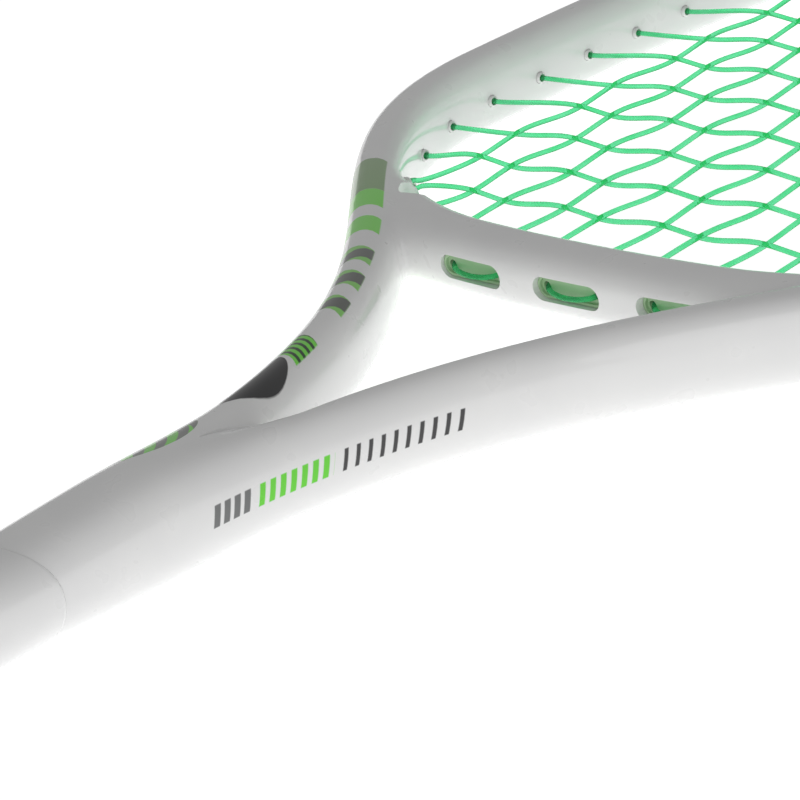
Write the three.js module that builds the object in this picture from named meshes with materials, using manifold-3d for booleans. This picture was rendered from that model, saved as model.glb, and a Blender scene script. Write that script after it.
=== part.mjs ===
// A squash racket with a closed throat, lying flat: string plane level, handle towards -Y, tip towards +Y.
// Units are millimetres. The origin is under the middle of the racket, on the surface it lies on.
import * as THREE from "three";
import * as BufferGeometryUtils from "three/addons/utils/BufferGeometryUtils.js";
import Module from "manifold-3d";

const wasm = await Module();
wasm.setup();

// Overall
const LENGTH = 686;
const GAP = 0.3; // clearance between pieces that touch on the real racket
const BUTT_WIDTH = 35;
const BUTT_HEIGHT = 31;

// Head and yoke: each side runs as one curve from the shaft to the tip
const HEAD_HALF_WIDTH = 101.5; // to the middle of the tube
const WIDEST_Y = 139;
const BUMPER_PROUD = 5;
const BUMPER_START = 1.42; // along the side curve
const BUMPER_COVER = 0.82; // share of the tube's height
const TUBE_WIDTH = 10.4;
const TUBE_HEIGHT = 17;
const TUBE_WALL = 1.3;
const CLEAR_OF_TUBE = TUBE_WIDTH * 0.65; // outward reach of a tool that goes right through the tube
const TIP_Y = LENGTH / 2 - BUMPER_PROUD - GAP - TUBE_WIDTH / 2;
const TIP_ROUNDNESS = 2.49;
const YOKE_START = new THREE.Vector2(4.6, -50);
const YOKE_HANDLE = 111;
const SIDE_HANDLE = 66;
const SEAM = 0.445; // where a yoke arm hands over to the hoop, along the side curve

// String channel round the outside of the hoop
const CHANNEL_START = 0.56; // along the side curve
const CHANNEL_FLOOR = 2.7;
const CHANNEL_WIDTH = 6;
const STRIP_THICKNESS = 0.7;
const STRIP_WIDTH = 5.2;
const STRIP_GAP = 0.15; // under and over the strip
const HOLE_OFFSET_Z = 1.5; // mains pass above the middle of the tube, crosses below it

// Bridge
const BRIDGE_FACE_Y = 59.8;
const BRIDGE_DEPTH = 12.2;
const BRIDGE_HEIGHT = 13.6;
const BRIDGE_WALL = 1.6;
const BRIDGE_CURVE = 0.0012;
const BRIDGE_REACH = 60; // half its length before the hoop trims it
const SLOT_LENGTH = 17;
const SLOT_HEIGHT = 4.8;
const TRAY_DEPTH = 2.6;
const TRAY_FLOOR = 0.8;

// Strings
const STRING_RADIUS = 0.55;
const WEAVE = 0.72;
const MAINS = 12;
const MAIN_PITCH = 13;
const CROSSES = 15;
const CROSS_START_Y = 92;
const CROSS_PITCH = 15;
const BARREL_BORE = 0.85;
const BARREL_RADIUS = 1.25;
const BARREL_SIDES = 4;
const STRING_IN_CHANNEL = CHANNEL_FLOOR + STRIP_THICKNESS + 2 * STRIP_GAP + STRING_RADIUS;

// Shaft and handle
const SHAFT_WIDTH = 18.6;
const SHAFT_HEIGHT = 17.2;
const SHAFT_WALL = 1.5;
const SLEEVE_END_Y = -66;
const SLEEVE_WALL = 0.7;
const COLLAR_END_Y = -94;
const COLLAR_START_Y = -108.5;
const GRIP_END_Y = -109;
const GRIP_START_Y = -325;
const GRIP_THICKNESS = 1.7;
const PALLET_WIDTH = 27.6;
const PALLET_HEIGHT = 24.2;
const PALLET_CHAMFER = 6.4;
const TAPE_LENGTH = 12;
const TAPE_THICKNESS = 0.5;
const PLUG_RADIUS = 8;
const STAPLE_WIRE = 0.45;
const STAPLE_SPAN = 9;
const STAPLE_REACH = 2; // how far the legs go into the pallet
const STAPLE_SLOT_DEPTH = 3;
const STAPLE_Y = -333;

const paint = { color: 0xf2f2f0, roughness: 0.25, metalness: 0 };
const stringGreen = { color: 0x22c060, roughness: 0.4, metalness: 0 };
const trimWhite = { color: 0xe6e6e4, roughness: 0.5, metalness: 0 };
const bumperGrey = { color: 0x555555, roughness: 0.6, metalness: 0 };
const rubber = { color: 0x222222, roughness: 0.8, metalness: 0 };
const gripBlack = { color: 0x1d1d1d, roughness: 0.9, metalness: 0 };
const steel = { color: 0xa8a8a8, roughness: 0.35, metalness: 1 };
const foam = { color: 0xc9bfa4, roughness: 0.9, metalness: 0 };

const racket = new THREE.Group();
racket.position.z = BUTT_HEIGHT / 2;

function add(name, geometry, finish) {
  const mesh = new THREE.Mesh(geometry, new THREE.MeshStandardMaterial(finish));
  mesh.name = name;
  racket.add(mesh);
}

// ---- solids

function toSolid(geometry) {
  const bare = geometry.clone();
  bare.deleteAttribute("normal");
  bare.deleteAttribute("uv");
  const merged = BufferGeometryUtils.mergeVertices(bare);
  const index = merged.index.array;
  const corners = [];
  for (let k = 0; k < index.length; k += 3) {
    const [a, b, c] = index.slice(k, k + 3);
    if (a !== b && b !== c && c !== a) {
      corners.push(a, b, c);
    }
  }
  const vertProperties = merged.attributes.position.array;
  return new wasm.Manifold(new wasm.Mesh({ numProp: 3, vertProperties, triVerts: new Uint32Array(corners) }));
}

function toGeometry(solid) {
  const mesh = solid.getMesh();
  const geometry = new THREE.BufferGeometry();
  geometry.setAttribute("position", new THREE.BufferAttribute(mesh.vertProperties, 3));
  geometry.setIndex(new THREE.BufferAttribute(mesh.triVerts, 1));
  return geometry;
}

function cut(geometry, tools) {
  let solid = toSolid(geometry);
  for (const tool of tools) {
    solid = solid.subtract(toSolid(tool));
  }
  return toGeometry(solid);
}

function join(geometry, others) {
  let solid = toSolid(geometry);
  for (const other of others) {
    solid = solid.add(toSolid(other));
  }
  return toGeometry(solid);
}

// ---- sections and sweeps

// A rounded outline: 2 is an ellipse, larger exponents are squarer.
function oval(width, height, sides, exponent = 2.6) {
  const outline = [];
  for (let k = 0; k < sides; k += 1) {
    const angle = ((k + 0.5) / sides) * 2 * Math.PI;
    const c = Math.cos(angle);
    const s = Math.sin(angle);
    outline.push(
      new THREE.Vector2(
        (Math.sign(c) * Math.abs(c) ** (2 / exponent) * width) / 2,
        (Math.sign(s) * Math.abs(s) ** (2 / exponent) * height) / 2,
      ),
    );
  }
  return outline;
}

function octagon(width, height, chamfer) {
  const x = width / 2;
  const y = height / 2;
  const corners = [
    [x, y - chamfer],
    [x - chamfer, y],
    [chamfer - x, y],
    [-x, y - chamfer],
    [-x, chamfer - y],
    [chamfer - x, -y],
    [x - chamfer, -y],
    [x, chamfer - y],
  ];
  return corners.map(([a, b]) => new THREE.Vector2(a, b));
}

const anticlockwise = (points) => (THREE.ShapeUtils.isClockWise(points) ? [...points].reverse() : points);

function shapeOf(outline, hole) {
  const shape = new THREE.Shape(anticlockwise(outline));
  if (hole) {
    shape.holes.push(new THREE.Path(anticlockwise(hole)));
  }
  return shape;
}

// A path that passes through its points one by one, with a section standing at each.
class Route extends THREE.Curve {
  constructor(points) {
    super();
    this.points = points;
  }

  getPoint(t, target = new THREE.Vector3()) {
    const last = this.points.length - 1;
    const place = Math.min(Math.max(t, 0), 1) * last;
    const k = Math.min(Math.floor(place), last - 1);
    return target.lerpVectors(this.points[k], this.points[k + 1], place - k);
  }

  getPointAt(u, target) {
    return this.getPoint(u, target);
  }

  getTangent(t, target = new THREE.Vector3()) {
    const last = this.points.length - 1;
    const k = Math.round(t * last);
    const ahead = this.points[Math.min(k + 1, last)].clone().sub(this.points[Math.min(k, last - 1)]);
    const behind = this.points[Math.max(k, 1)].clone().sub(this.points[Math.max(k - 1, 0)]);
    return target.copy(ahead.normalize()).add(behind.normalize()).normalize();
  }

  getTangentAt(u, target) {
    return this.getTangent(u, target);
  }
}

// Sweeps a section along level points. The section's x is outward (to the right of a path that
// heads for the tip, or to its left when side is -1) and its y is up.
function sweep(points, outline, hole, side = 1) {
  const turn = (list) => list.map((p) => new THREE.Vector2(p.y, -side * p.x));
  const shape = shapeOf(turn(outline), hole && turn(hole));
  return new THREE.ExtrudeGeometry(shape, {
    steps: points.length - 1,
    extrudePath: new Route(points),
  });
}

// A straight prism along Y, with the section's x across and its y up.
function prism(fromY, toY, outline, hole) {
  return sweep([new THREE.Vector3(0, fromY, 0), new THREE.Vector3(0, toY, 0)], outline, hole);
}

function rod(from, to, radius, sides = BARREL_SIDES) {
  const length = from.distanceTo(to);
  const geometry = new THREE.CylinderGeometry(radius, radius, length, sides);
  const along = to.clone().sub(from).normalize();
  geometry.applyQuaternion(new THREE.Quaternion().setFromUnitVectors(new THREE.Vector3(0, 1, 0), along));
  geometry.translate((from.x + to.x) / 2, (from.y + to.y) / 2, (from.z + to.z) / 2);
  return geometry;
}

// ---- the side curve: 0 at the yoke, 1 at the widest point, 2 at the tip

const lowerSide = new THREE.CubicBezierCurve(
  YOKE_START,
  new THREE.Vector2(YOKE_START.x, YOKE_START.y + YOKE_HANDLE),
  new THREE.Vector2(HEAD_HALF_WIDTH, WIDEST_Y - SIDE_HANDLE),
  new THREE.Vector2(HEAD_HALF_WIDTH, WIDEST_Y),
);

function sidePoint(s) {
  if (s <= 1) {
    return lowerSide.getPoint(s);
  }
  const angle = ((s - 1) * Math.PI) / 2;
  const power = 2 / TIP_ROUNDNESS;
  return new THREE.Vector2(
    HEAD_HALF_WIDTH * Math.max(Math.cos(angle), 0) ** power,
    WIDEST_Y + (TIP_Y - WIDEST_Y) * Math.sin(angle) ** power,
  );
}

function rail(s, outward, side = 1, z = 0) {
  const step = 0.002;
  const ahead = sidePoint(Math.min(s + step, 2));
  const along = ahead.sub(sidePoint(Math.max(s - step, 0))).normalize();
  if (s >= 2) {
    along.set(-1, 0);
  }
  const p = sidePoint(s);
  return new THREE.Vector3(side * (p.x + along.y * outward), p.y - along.x * outward, z);
}

function railRun(from, to, steps, outward, side, z = 0) {
  const points = [];
  for (let k = 0; k <= steps; k += 1) {
    points.push(rail(from + ((to - from) * k) / steps, outward, side, z));
  }
  return points;
}

// Where the right-hand rail, moved outward, meets a line of constant x or y.
function meet(axis, value, outward, from, to) {
  const samples = 600;
  let before = rail(from, outward);
  for (let k = 1; k <= samples; k += 1) {
    const s = from + ((to - from) * k) / samples;
    const here = rail(s, outward);
    if ((before[axis] - value) * (here[axis] - value) <= 0) {
      return s;
    }
    before = here;
  }
  throw new Error(`no meeting of the rail with ${axis} = ${value}`);
}

// ---- string places

const mainX = (i) => (i - (MAINS - 1) / 2) * MAIN_PITCH;
const crossY = (j) => CROSS_START_Y + j * CROSS_PITCH;
const bridgeY = (x, depth) => BRIDGE_FACE_Y + BRIDGE_CURVE * x * x + depth;

// A string end on one side of the hoop: which line it follows, where it meets the channel and the inner wall.
function hoopEnd(axis, value, from, to, side, z) {
  const at = (outward) => {
    const point = rail(meet(axis, Math.abs(value), outward, from, to), outward, side, z);
    point[axis] = value;
    return point;
  };
  return { s: meet(axis, Math.abs(value), STRING_IN_CHANNEL, from, to), side, z, at };
}

const mainTop = (i) => hoopEnd("x", mainX(i), 1.05, 2, Math.sign(mainX(i)), HOLE_OFFSET_Z);
const mainFoot = (i) => hoopEnd("x", mainX(i), SEAM, 0.9, Math.sign(mainX(i)), HOLE_OFFSET_Z);

const crossEnd = (j, side) => hoopEnd("y", crossY(j), SEAM, 1.95, side, -HOLE_OFFSET_Z);

const sides = { right: 1, left: -1 };

function endsOn(side) {
  const ends = [];
  for (let j = 0; j < CROSSES; j += 1) {
    ends.push(crossEnd(j, side));
  }
  for (let i = 0; i < MAINS; i += 1) {
    if (Math.sign(mainX(i)) === side) {
      ends.push(mainTop(i));
    }
  }
  ends.push(mainFoot(side > 0 ? MAINS - 1 : 0));
  return ends;
}

// The second main from each edge turns inside the tube and comes back through the end of the bridge.
const turnIndex = (side) => (side > 0 ? MAINS - 2 : 1);
const turnY = bridgeY(mainX(turnIndex(1)), BRIDGE_DEPTH / 2 - 1.3);

// ---- head frame

const tubeOutline = oval(TUBE_WIDTH, TUBE_HEIGHT, 12);
const tubeHole = oval(TUBE_WIDTH - 2 * TUBE_WALL - 1.2, TUBE_HEIGHT - 2 * TUBE_WALL, 8)
  .map((p) => new THREE.Vector2(p.x - 0.6, p.y));
const fatTube = oval(TUBE_WIDTH + 2 * GAP, TUBE_HEIGHT + 2 * GAP, 12);
const halfSpace = (side) => {
  const block = new THREE.BoxGeometry(40, 2 * LENGTH, 60);
  block.translate(-side * (20 - GAP / 2), 0, 0);
  return block;
};

// A run up to the tip that goes a little past it, to be trimmed at the middle.
function runOverTip(from, side) {
  return [...railRun(from, 2, 24, 0, side), new THREE.Vector3(-side * 2, TIP_Y, 0)];
}

function yokeArm(side) {
  const tube = sweep(railRun(0, SEAM, 12, 0, side), tubeOutline, tubeHole, side);
  return cut(tube, [halfSpace(side)]);
}

function channelTool(side) {
  const depth = TUBE_WIDTH - CHANNEL_FLOOR;
  const outline = [
    new THREE.Vector2(CHANNEL_FLOOR, -CHANNEL_WIDTH / 2),
    new THREE.Vector2(CHANNEL_FLOOR + depth, -CHANNEL_WIDTH / 2),
    new THREE.Vector2(CHANNEL_FLOOR + depth, CHANNEL_WIDTH / 2),
    new THREE.Vector2(CHANNEL_FLOOR, CHANNEL_WIDTH / 2),
  ];
  return sweep(runOverTip(CHANNEL_START, side), outline, null, side);
}

function hoopHalf(side) {
  const tools = [channelTool(side), halfSpace(side)];
  for (const end of endsOn(side)) {
    tools.push(rod(end.at(-CLEAR_OF_TUBE), end.at(CLEAR_OF_TUBE), BARREL_RADIUS + GAP));
  }
  const turn = mainX(turnIndex(side));
  const z = HOLE_OFFSET_Z;
  const foot = mainFoot(turnIndex(side));
  tools.push(rod(foot.at(-CLEAR_OF_TUBE), new THREE.Vector3(turn, turnY - 1, z), BARREL_BORE + GAP));
  const inward = new THREE.Vector3(turn - side * MAIN_PITCH, turnY, z);
  tools.push(rod(inward, new THREE.Vector3(turn + side, turnY, z), BARREL_BORE + GAP));
  return cut(sweep(runOverTip(SEAM + 0.003, side), tubeOutline, tubeHole, side), tools);
}

function grommetStrip(side) {
  const inner = CHANNEL_FLOOR + STRIP_GAP;
  const outline = [
    new THREE.Vector2(inner, -STRIP_WIDTH / 2),
    new THREE.Vector2(inner + STRIP_THICKNESS, -STRIP_WIDTH / 2),
    new THREE.Vector2(inner + STRIP_THICKNESS, STRIP_WIDTH / 2),
    new THREE.Vector2(inner, STRIP_WIDTH / 2),
  ];
  const strip = sweep(runOverTip(CHANNEL_START + 0.012, side), outline, null, side);
  const middle = inner + STRIP_THICKNESS / 2;
  const proud = TUBE_WIDTH / 2 + 0.7;
  const barrels = endsOn(side).map((end) => rod(end.at(-proud), end.at(middle), BARREL_RADIUS));
  const bores = endsOn(side).map((end) => rod(end.at(-proud - 3), end.at(middle + 3), BARREL_BORE));
  return cut(join(strip, barrels), [...bores, halfSpace(side)]);
}

for (const [word, side] of Object.entries(sides)) {
  add(`yoke_arm_${word}`, yokeArm(side), paint);
  add(`head_hoop_${word}`, hoopHalf(side), paint);
  add(`grommet_strip_${word}`, grommetStrip(side), trimWhite);
}

// The bumper guards the outside of the tip, from one shoulder over to the other.
function headBumper() {
  const right = railRun(BUMPER_START, 2, 12, 0, 1);
  const left = railRun(BUMPER_START, 2, 12, 0, -1).reverse();
  const foot = TUBE_WIDTH / 2 + GAP;
  const half = TUBE_HEIGHT / 2;
  const outline = [
    new THREE.Vector2(foot, -half * BUMPER_COVER),
    new THREE.Vector2(foot + BUMPER_PROUD * 0.6, -half * 0.78),
    new THREE.Vector2(foot + BUMPER_PROUD, -half * 0.4),
    new THREE.Vector2(foot + BUMPER_PROUD, half * 0.4),
    new THREE.Vector2(foot + BUMPER_PROUD * 0.6, half * 0.78),
    new THREE.Vector2(foot, half * BUMPER_COVER),
  ];
  return sweep([...right, ...left.slice(1)], outline, null, 1);
}
add("head_bumper", headBumper(), bumperGrey);

// ---- bridge

const BRIDGE_STEPS = 12;

function bridgeRun(depth, reach) {
  const points = [];
  for (let k = 0; k <= BRIDGE_STEPS; k += 1) {
    const x = reach * ((2 * k) / BRIDGE_STEPS - 1);
    points.push(new THREE.Vector3(x, bridgeY(x, depth), 0));
  }
  return points;
}

// A flat-sided slot with round ends, long in X, standing along Y.
function slotPrism(x, length, height, fromY, toY) {
  const straight = (length - height) / 2;
  const shape = new THREE.Shape();
  shape.absarc(straight, 0, height / 2, -Math.PI / 2, Math.PI / 2, false);
  shape.absarc(-straight, 0, height / 2, Math.PI / 2, (3 * Math.PI) / 2, false);
  const outline = shape.extractPoints(3).shape.slice(0, -1);
  const geometry = prism(fromY, toY, outline);
  geometry.translate(x, 0, 0);
  return geometry;
}

const slotPairs = [
  [3, 4],
  [5, 6],
  [7, 8],
];
const slotX = (pair) => (mainX(pair[0]) + mainX(pair[1])) / 2;
const singleMains = [2, 9];
const faceY = (x) => bridgeY(x, 0);
const innerFaceY = (x) => faceY(x) + BRIDGE_DEPTH - BRIDGE_WALL - 1;

function bridge() {
  const outline = oval(BRIDGE_DEPTH, BRIDGE_HEIGHT, 12, 3);
  const hole = oval(BRIDGE_DEPTH - 2 * BRIDGE_WALL, BRIDGE_HEIGHT - 2 * BRIDGE_WALL, 8, 3);
  const tools = [];
  for (const side of Object.values(sides)) {
    tools.push(sweep(railRun(0.2, 0.8, 20, 0, side), fatTube, null, side));
    const outside = new THREE.BoxGeometry(60, 80, 60);
    outside.translate(side * (BRIDGE_REACH + 24), BRIDGE_FACE_Y - 20, 0);
    tools.push(outside);
  }
  for (const pair of slotPairs) {
    const x = slotX(pair);
    tools.push(slotPrism(x, SLOT_LENGTH, SLOT_HEIGHT, faceY(x) - 3, faceY(x) + TRAY_DEPTH + 1));
  }
  for (const i of [...slotPairs.flat(), ...singleMains]) {
    const x = mainX(i);
    const from = new THREE.Vector3(x, faceY(x) + BRIDGE_DEPTH / 2, 0);
    const to = new THREE.Vector3(x, faceY(x) + BRIDGE_DEPTH + 4, 0);
    tools.push(rod(from, to, BARREL_RADIUS + GAP));
  }
  return cut(sweep(bridgeRun(BRIDGE_DEPTH / 2, BRIDGE_REACH), outline, hole), tools);
}
add("throat_bridge", bridge(), paint);

// An oval tray set into each slot, with a barrel at each end that the strings pass through.
function bridgeTray(pair) {
  const x = slotX(pair);
  const floor = faceY(x) + TRAY_DEPTH;
  const tray = slotPrism(x, SLOT_LENGTH - 2 * GAP, SLOT_HEIGHT - 2 * GAP, floor - TRAY_FLOOR, floor);
  const far = faceY(x) + BRIDGE_DEPTH + 0.8;
  const along = (i, from, to, radius) =>
    rod(new THREE.Vector3(mainX(i), from, 0), new THREE.Vector3(mainX(i), to, 0), radius);
  const barrels = pair.map((i) => along(i, floor - TRAY_FLOOR / 2, far, BARREL_RADIUS));
  const bores = pair.map((i) => along(i, floor - 3, far + 3, BARREL_BORE));
  return cut(join(tray, barrels), bores);
}
slotPairs.forEach((pair, k) => add(`bridge_grommet_${k + 1}`, bridgeTray(pair), trimWhite));

function singleGrommet(i) {
  const x = mainX(i);
  const at = (y) => new THREE.Vector3(x, y, 0);
  const far = faceY(x) + BRIDGE_DEPTH + 1.2;
  const barrel = rod(at(innerFaceY(x)), at(far), BARREL_RADIUS);
  return cut(barrel, [rod(at(innerFaceY(x) - 2), at(far + 2), BARREL_BORE)]);
}
add("corner_grommet_left", singleGrommet(singleMains[0]), trimWhite);
add("corner_grommet_right", singleGrommet(singleMains[1]), trimWhite);

// ---- strings

const threadSection = oval(2 * STRING_RADIUS, 2 * STRING_RADIUS, 4, 2);
const thread = (points) =>
  new THREE.ExtrudeGeometry(shapeOf(threadSection), {
    steps: points.length - 1,
    extrudePath: new Route(points),
  });

// Leaves the bed through the hoop and lies in its channel, or stops under a knot there.
const wallPoints = (end) => [end.at(-TUBE_WIDTH / 2 - 1.2), end.at(STRING_IN_CHANNEL)];
const knotPoints = (end) => [end.at(-TUBE_WIDTH / 2 - 1.2), end.at(CHANNEL_FLOOR + STRIP_THICKNESS / 2)];

function channelRun(a, b) {
  const middle = rail((a.s + b.s) / 2, STRING_IN_CHANNEL, a.side, a.z);
  return [...wallPoints(a), middle, ...wallPoints(b).reverse()];
}

function mainString() {
  const weave = (i) => {
    const points = [];
    for (let j = 0; j < CROSSES; j += 1) {
      const inside = Math.abs(mainX(i)) < Math.abs(crossEnd(j, 1).at(-TUBE_WIDTH / 2 - 1).x);
      if (inside) {
        points.push(new THREE.Vector3(mainX(i), crossY(j), (i + j) % 2 ? -WEAVE : WEAVE));
      }
    }
    return points;
  };
  const loop = (pair) => {
    const [a, b] = pair.map(mainX);
    const floor = faceY(slotX(pair)) + TRAY_DEPTH;
    const top = faceY(slotX(pair)) + BRIDGE_DEPTH + 2;
    const low = floor - TRAY_FLOOR - GAP - STRING_RADIUS;
    const back = floor - TRAY_FLOOR;
    const path = [[a, top], [a, back], [a + 0.7, low], [b - 0.7, low], [b, back], [b, top]];
    return path.map(([x, y]) => new THREE.Vector3(x, y, 0));
  };
  // From the second main, through the tube's inner wall, to the third, or the other way round.
  const hiddenTurn = (side) => {
    const outer = mainX(turnIndex(side));
    const inner = outer - side * MAIN_PITCH;
    const z = HOLE_OFFSET_Z;
    const entry = mainFoot(turnIndex(side)).at(-TUBE_WIDTH / 2 - 1.2);
    return [
      entry,
      new THREE.Vector3(outer, turnY, z),
      new THREE.Vector3(inner + side * 2.5, turnY, z),
      new THREE.Vector3(inner, turnY + 1.5, z * 0.4),
      new THREE.Vector3(inner, innerFaceY(inner) - GAP, 0),
      new THREE.Vector3(inner, faceY(inner) + BRIDGE_DEPTH + 2, 0),
    ];
  };
  const points = [];
  for (let i = 0; i < MAINS; i += 1) {
    const rising = i % 2 === 0;
    if (i === 0) {
      points.push(...knotPoints(mainFoot(0)).reverse());
    }
    points.push(...(rising ? weave(i) : weave(i).reverse()));
    if (rising) {
      points.push(...channelRun(mainTop(i), mainTop(i + 1)));
    } else if (i === 1) {
      points.push(...hiddenTurn(-1));
    } else if (i === MAINS - 3) {
      points.push(...hiddenTurn(1).reverse());
    } else if (i < MAINS - 1) {
      points.push(...loop([i, i + 1]));
    }
  }
  points.push(...knotPoints(mainFoot(MAINS - 1)));
  return points;
}

function crossString() {
  const points = [];
  for (let j = 0; j < CROSSES; j += 1) {
    const heading = j % 2 === 0 ? -1 : 1;
    const start = crossEnd(j, -heading);
    if (j === 0) {
      points.push(...knotPoints(start).reverse());
    }
    const reach = Math.abs(start.at(-TUBE_WIDTH / 2 - 1).x);
    const columns = [...Array(MAINS).keys()].filter((i) => Math.abs(mainX(i)) < reach);
    if (heading < 0) {
      columns.reverse();
    }
    for (const i of columns) {
      points.push(new THREE.Vector3(mainX(i), crossY(j), (i + j) % 2 ? WEAVE : -WEAVE));
    }
    const end = crossEnd(j, heading);
    if (j < CROSSES - 1) {
      points.push(...channelRun(end, crossEnd(j + 1, heading)));
    } else {
      points.push(...knotPoints(end));
    }
  }
  return points;
}

add("main_string", thread(mainString()), stringGreen);
add("cross_string", thread(crossString()), stringGreen);

// A flattened knot sits in the channel at each of the four string ends.
const KNOT_RADIUS = 1.3;
const KNOT_HALF_HEIGHT = 0.62;

function knot(end) {
  const bead = new THREE.SphereGeometry(KNOT_RADIUS, 8, 6);
  bead.scale(1, KNOT_HALF_HEIGHT / KNOT_RADIUS, 1);
  const outward = rail(end.s, 1, end.side).sub(rail(end.s, 0, end.side));
  bead.applyQuaternion(new THREE.Quaternion().setFromUnitVectors(new THREE.Vector3(0, 1, 0), outward));
  const centre = end.at(STRING_IN_CHANNEL + 0.1);
  bead.translate(centre.x, centre.y, centre.z);
  return bead;
}
const knottedEnds = [mainFoot(0), mainFoot(MAINS - 1), crossEnd(0, 1), crossEnd(CROSSES - 1, -1)];
knottedEnds.forEach((end, k) => add(`string_knot_${k + 1}`, knot(end), stringGreen));

// ---- shaft and handle

const wider = (width, height, by, sides, exponent) => oval(width + 2 * by, height + 2 * by, sides, exponent);
const BUTT_END_Y = -LENGTH / 2;

const shaftTube = prism(
  BUTT_END_Y + 5,
  YOKE_START.y - GAP,
  oval(SHAFT_WIDTH, SHAFT_HEIGHT, 20),
  wider(SHAFT_WIDTH, SHAFT_HEIGHT, -SHAFT_WALL, 12),
);
add("shaft", shaftTube, paint);

const shaftSleeve = prism(
  COLLAR_END_Y + GAP,
  SLEEVE_END_Y,
  wider(SHAFT_WIDTH, SHAFT_HEIGHT, GAP + SLEEVE_WALL, 20),
  wider(SHAFT_WIDTH, SHAFT_HEIGHT, GAP, 20),
);
add("shaft_sleeve", shaftSleeve, paint);

// The pallet is the eight-sided core that gives the handle its shape.
const pallet = prism(
  BUTT_END_Y + 4,
  GRIP_END_Y,
  octagon(PALLET_WIDTH, PALLET_HEIGHT, PALLET_CHAMFER),
  wider(SHAFT_WIDTH, SHAFT_HEIGHT, GAP, 20),
);

// A lathe turned about Z is laid along Y and squeezed to the handle's height.
function turned(profile, squeeze, segments) {
  const geometry = new THREE.LatheGeometry(profile.map(([r, y]) => new THREE.Vector2(r, y)), segments);
  geometry.scale(1, 1, squeeze);
  return geometry;
}

const buttRadius = BUTT_WIDTH / 2;
const buttSqueeze = BUTT_HEIGHT / BUTT_WIDTH;
const buttBody = turned(
  [
    [0, BUTT_END_Y],
    [buttRadius - 2.5, BUTT_END_Y],
    [buttRadius - 0.6, BUTT_END_Y + 2],
    [buttRadius, BUTT_END_Y + 5],
    [buttRadius - 0.8, BUTT_END_Y + 11],
    [buttRadius - 1.6, GRIP_START_Y - GAP],
    [0, GRIP_START_Y - GAP],
  ],
  buttSqueeze,
  32,
);
const palletSocket = prism(
  BUTT_END_Y + 4 - GAP,
  GRIP_END_Y,
  octagon(PALLET_WIDTH + 2 * GAP, PALLET_HEIGHT + 2 * GAP, PALLET_CHAMFER),
);
const plugSeat = turned(
  [
    [0, BUTT_END_Y - 2],
    [PLUG_RADIUS + GAP, BUTT_END_Y - 2],
    [PLUG_RADIUS + GAP, BUTT_END_Y + 2],
    [0, BUTT_END_Y + 2],
  ],
  1,
  24,
);

// Wire staples hold the cap's skirt to the pallet, one above and one below.
const crownHeight = PALLET_HEIGHT / 2 + 2;
function staple(side) {
  const crown = side * crownHeight;
  const foot = side * (PALLET_HEIGHT / 2 - STAPLE_REACH);
  const half = STAPLE_SPAN / 2;
  const bend = 0.6;
  const path = [
    [-half, foot],
    [-half, crown - side * bend],
    [-half + bend, crown],
    [half - bend, crown],
    [half, crown - side * bend],
    [half, foot],
  ];
  const points = path.map(([x, z]) => new THREE.Vector3(x, STAPLE_Y, z));
  return new THREE.ExtrudeGeometry(shapeOf(oval(2 * STAPLE_WIRE, 2 * STAPLE_WIRE, 8, 2)), {
    steps: points.length - 1,
    extrudePath: new Route(points),
  });
}
function stapleSlots() {
  const slots = [];
  for (const side of [1, -1]) {
    for (const x of [-STAPLE_SPAN / 2, STAPLE_SPAN / 2]) {
      const deep = new THREE.Vector3(x, STAPLE_Y, side * (PALLET_HEIGHT / 2 - STAPLE_SLOT_DEPTH));
      slots.push(rod(deep, new THREE.Vector3(x, STAPLE_Y, side * BUTT_HEIGHT), STAPLE_WIRE + GAP, 8));
    }
    const grooveDepth = 4;
    const grooveWidth = 1.8;
    const groove = new THREE.BoxGeometry(STAPLE_SPAN + grooveWidth - 0.2, grooveWidth, grooveDepth);
    groove.translate(0, STAPLE_Y, side * (crownHeight - STAPLE_WIRE - GAP + grooveDepth / 2));
    slots.push(groove);
  }
  return slots;
}
add("handle_pallet", cut(pallet, stapleSlots()), foam);
add("butt_cap", cut(buttBody, [palletSocket, plugSeat, ...stapleSlots()]), rubber);
add("cap_staple_top", staple(1), steel);
add("cap_staple_bottom", staple(-1), steel);

const buttPlug = turned(
  [
    [0, BUTT_END_Y + 0.6],
    [PLUG_RADIUS - 1, BUTT_END_Y + 0.6],
    [PLUG_RADIUS, BUTT_END_Y + 1],
    [PLUG_RADIUS, BUTT_END_Y + 1.7],
    [0, BUTT_END_Y + 1.7],
  ],
  1,
  24,
);
add("butt_plug", buttPlug, bumperGrey);

const gripOutline = (by) =>
  octagon(PALLET_WIDTH + 2 * by, PALLET_HEIGHT + 2 * by, PALLET_CHAMFER + by * 0.58);
const gripWrap = prism(
  GRIP_START_Y,
  GRIP_END_Y,
  gripOutline(GAP + GRIP_THICKNESS),
  gripOutline(GAP),
);
add("grip_wrap", gripWrap, gripBlack);

const finishingTape = prism(
  GRIP_END_Y - TAPE_LENGTH,
  GRIP_END_Y,
  gripOutline(2 * GAP + GRIP_THICKNESS + TAPE_THICKNESS),
  gripOutline(2 * GAP + GRIP_THICKNESS),
);
add("finishing_tape", finishingTape, rubber);

const collarBore = SHAFT_WIDTH / 2 + 0.9;
const gripCollar = turned(
  [
    [collarBore, COLLAR_START_Y],
    [15.4, COLLAR_START_Y],
    [15.6, COLLAR_START_Y + 3],
    [13.2, COLLAR_START_Y + 9],
    [11.4, COLLAR_END_Y],
    [collarBore, COLLAR_END_Y],
    [collarBore, COLLAR_START_Y],
  ],
  0.96,
  28,
);
add("grip_collar", gripCollar, rubber);

export default racket;
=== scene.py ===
"""Looks of the squash racket: lacquered frame, woven strings, grommets, bumper and wrapped handle.

Lengths inside the shape functions are millimetres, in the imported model's frame; MM turns them into metres.
"""

import math

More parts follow.
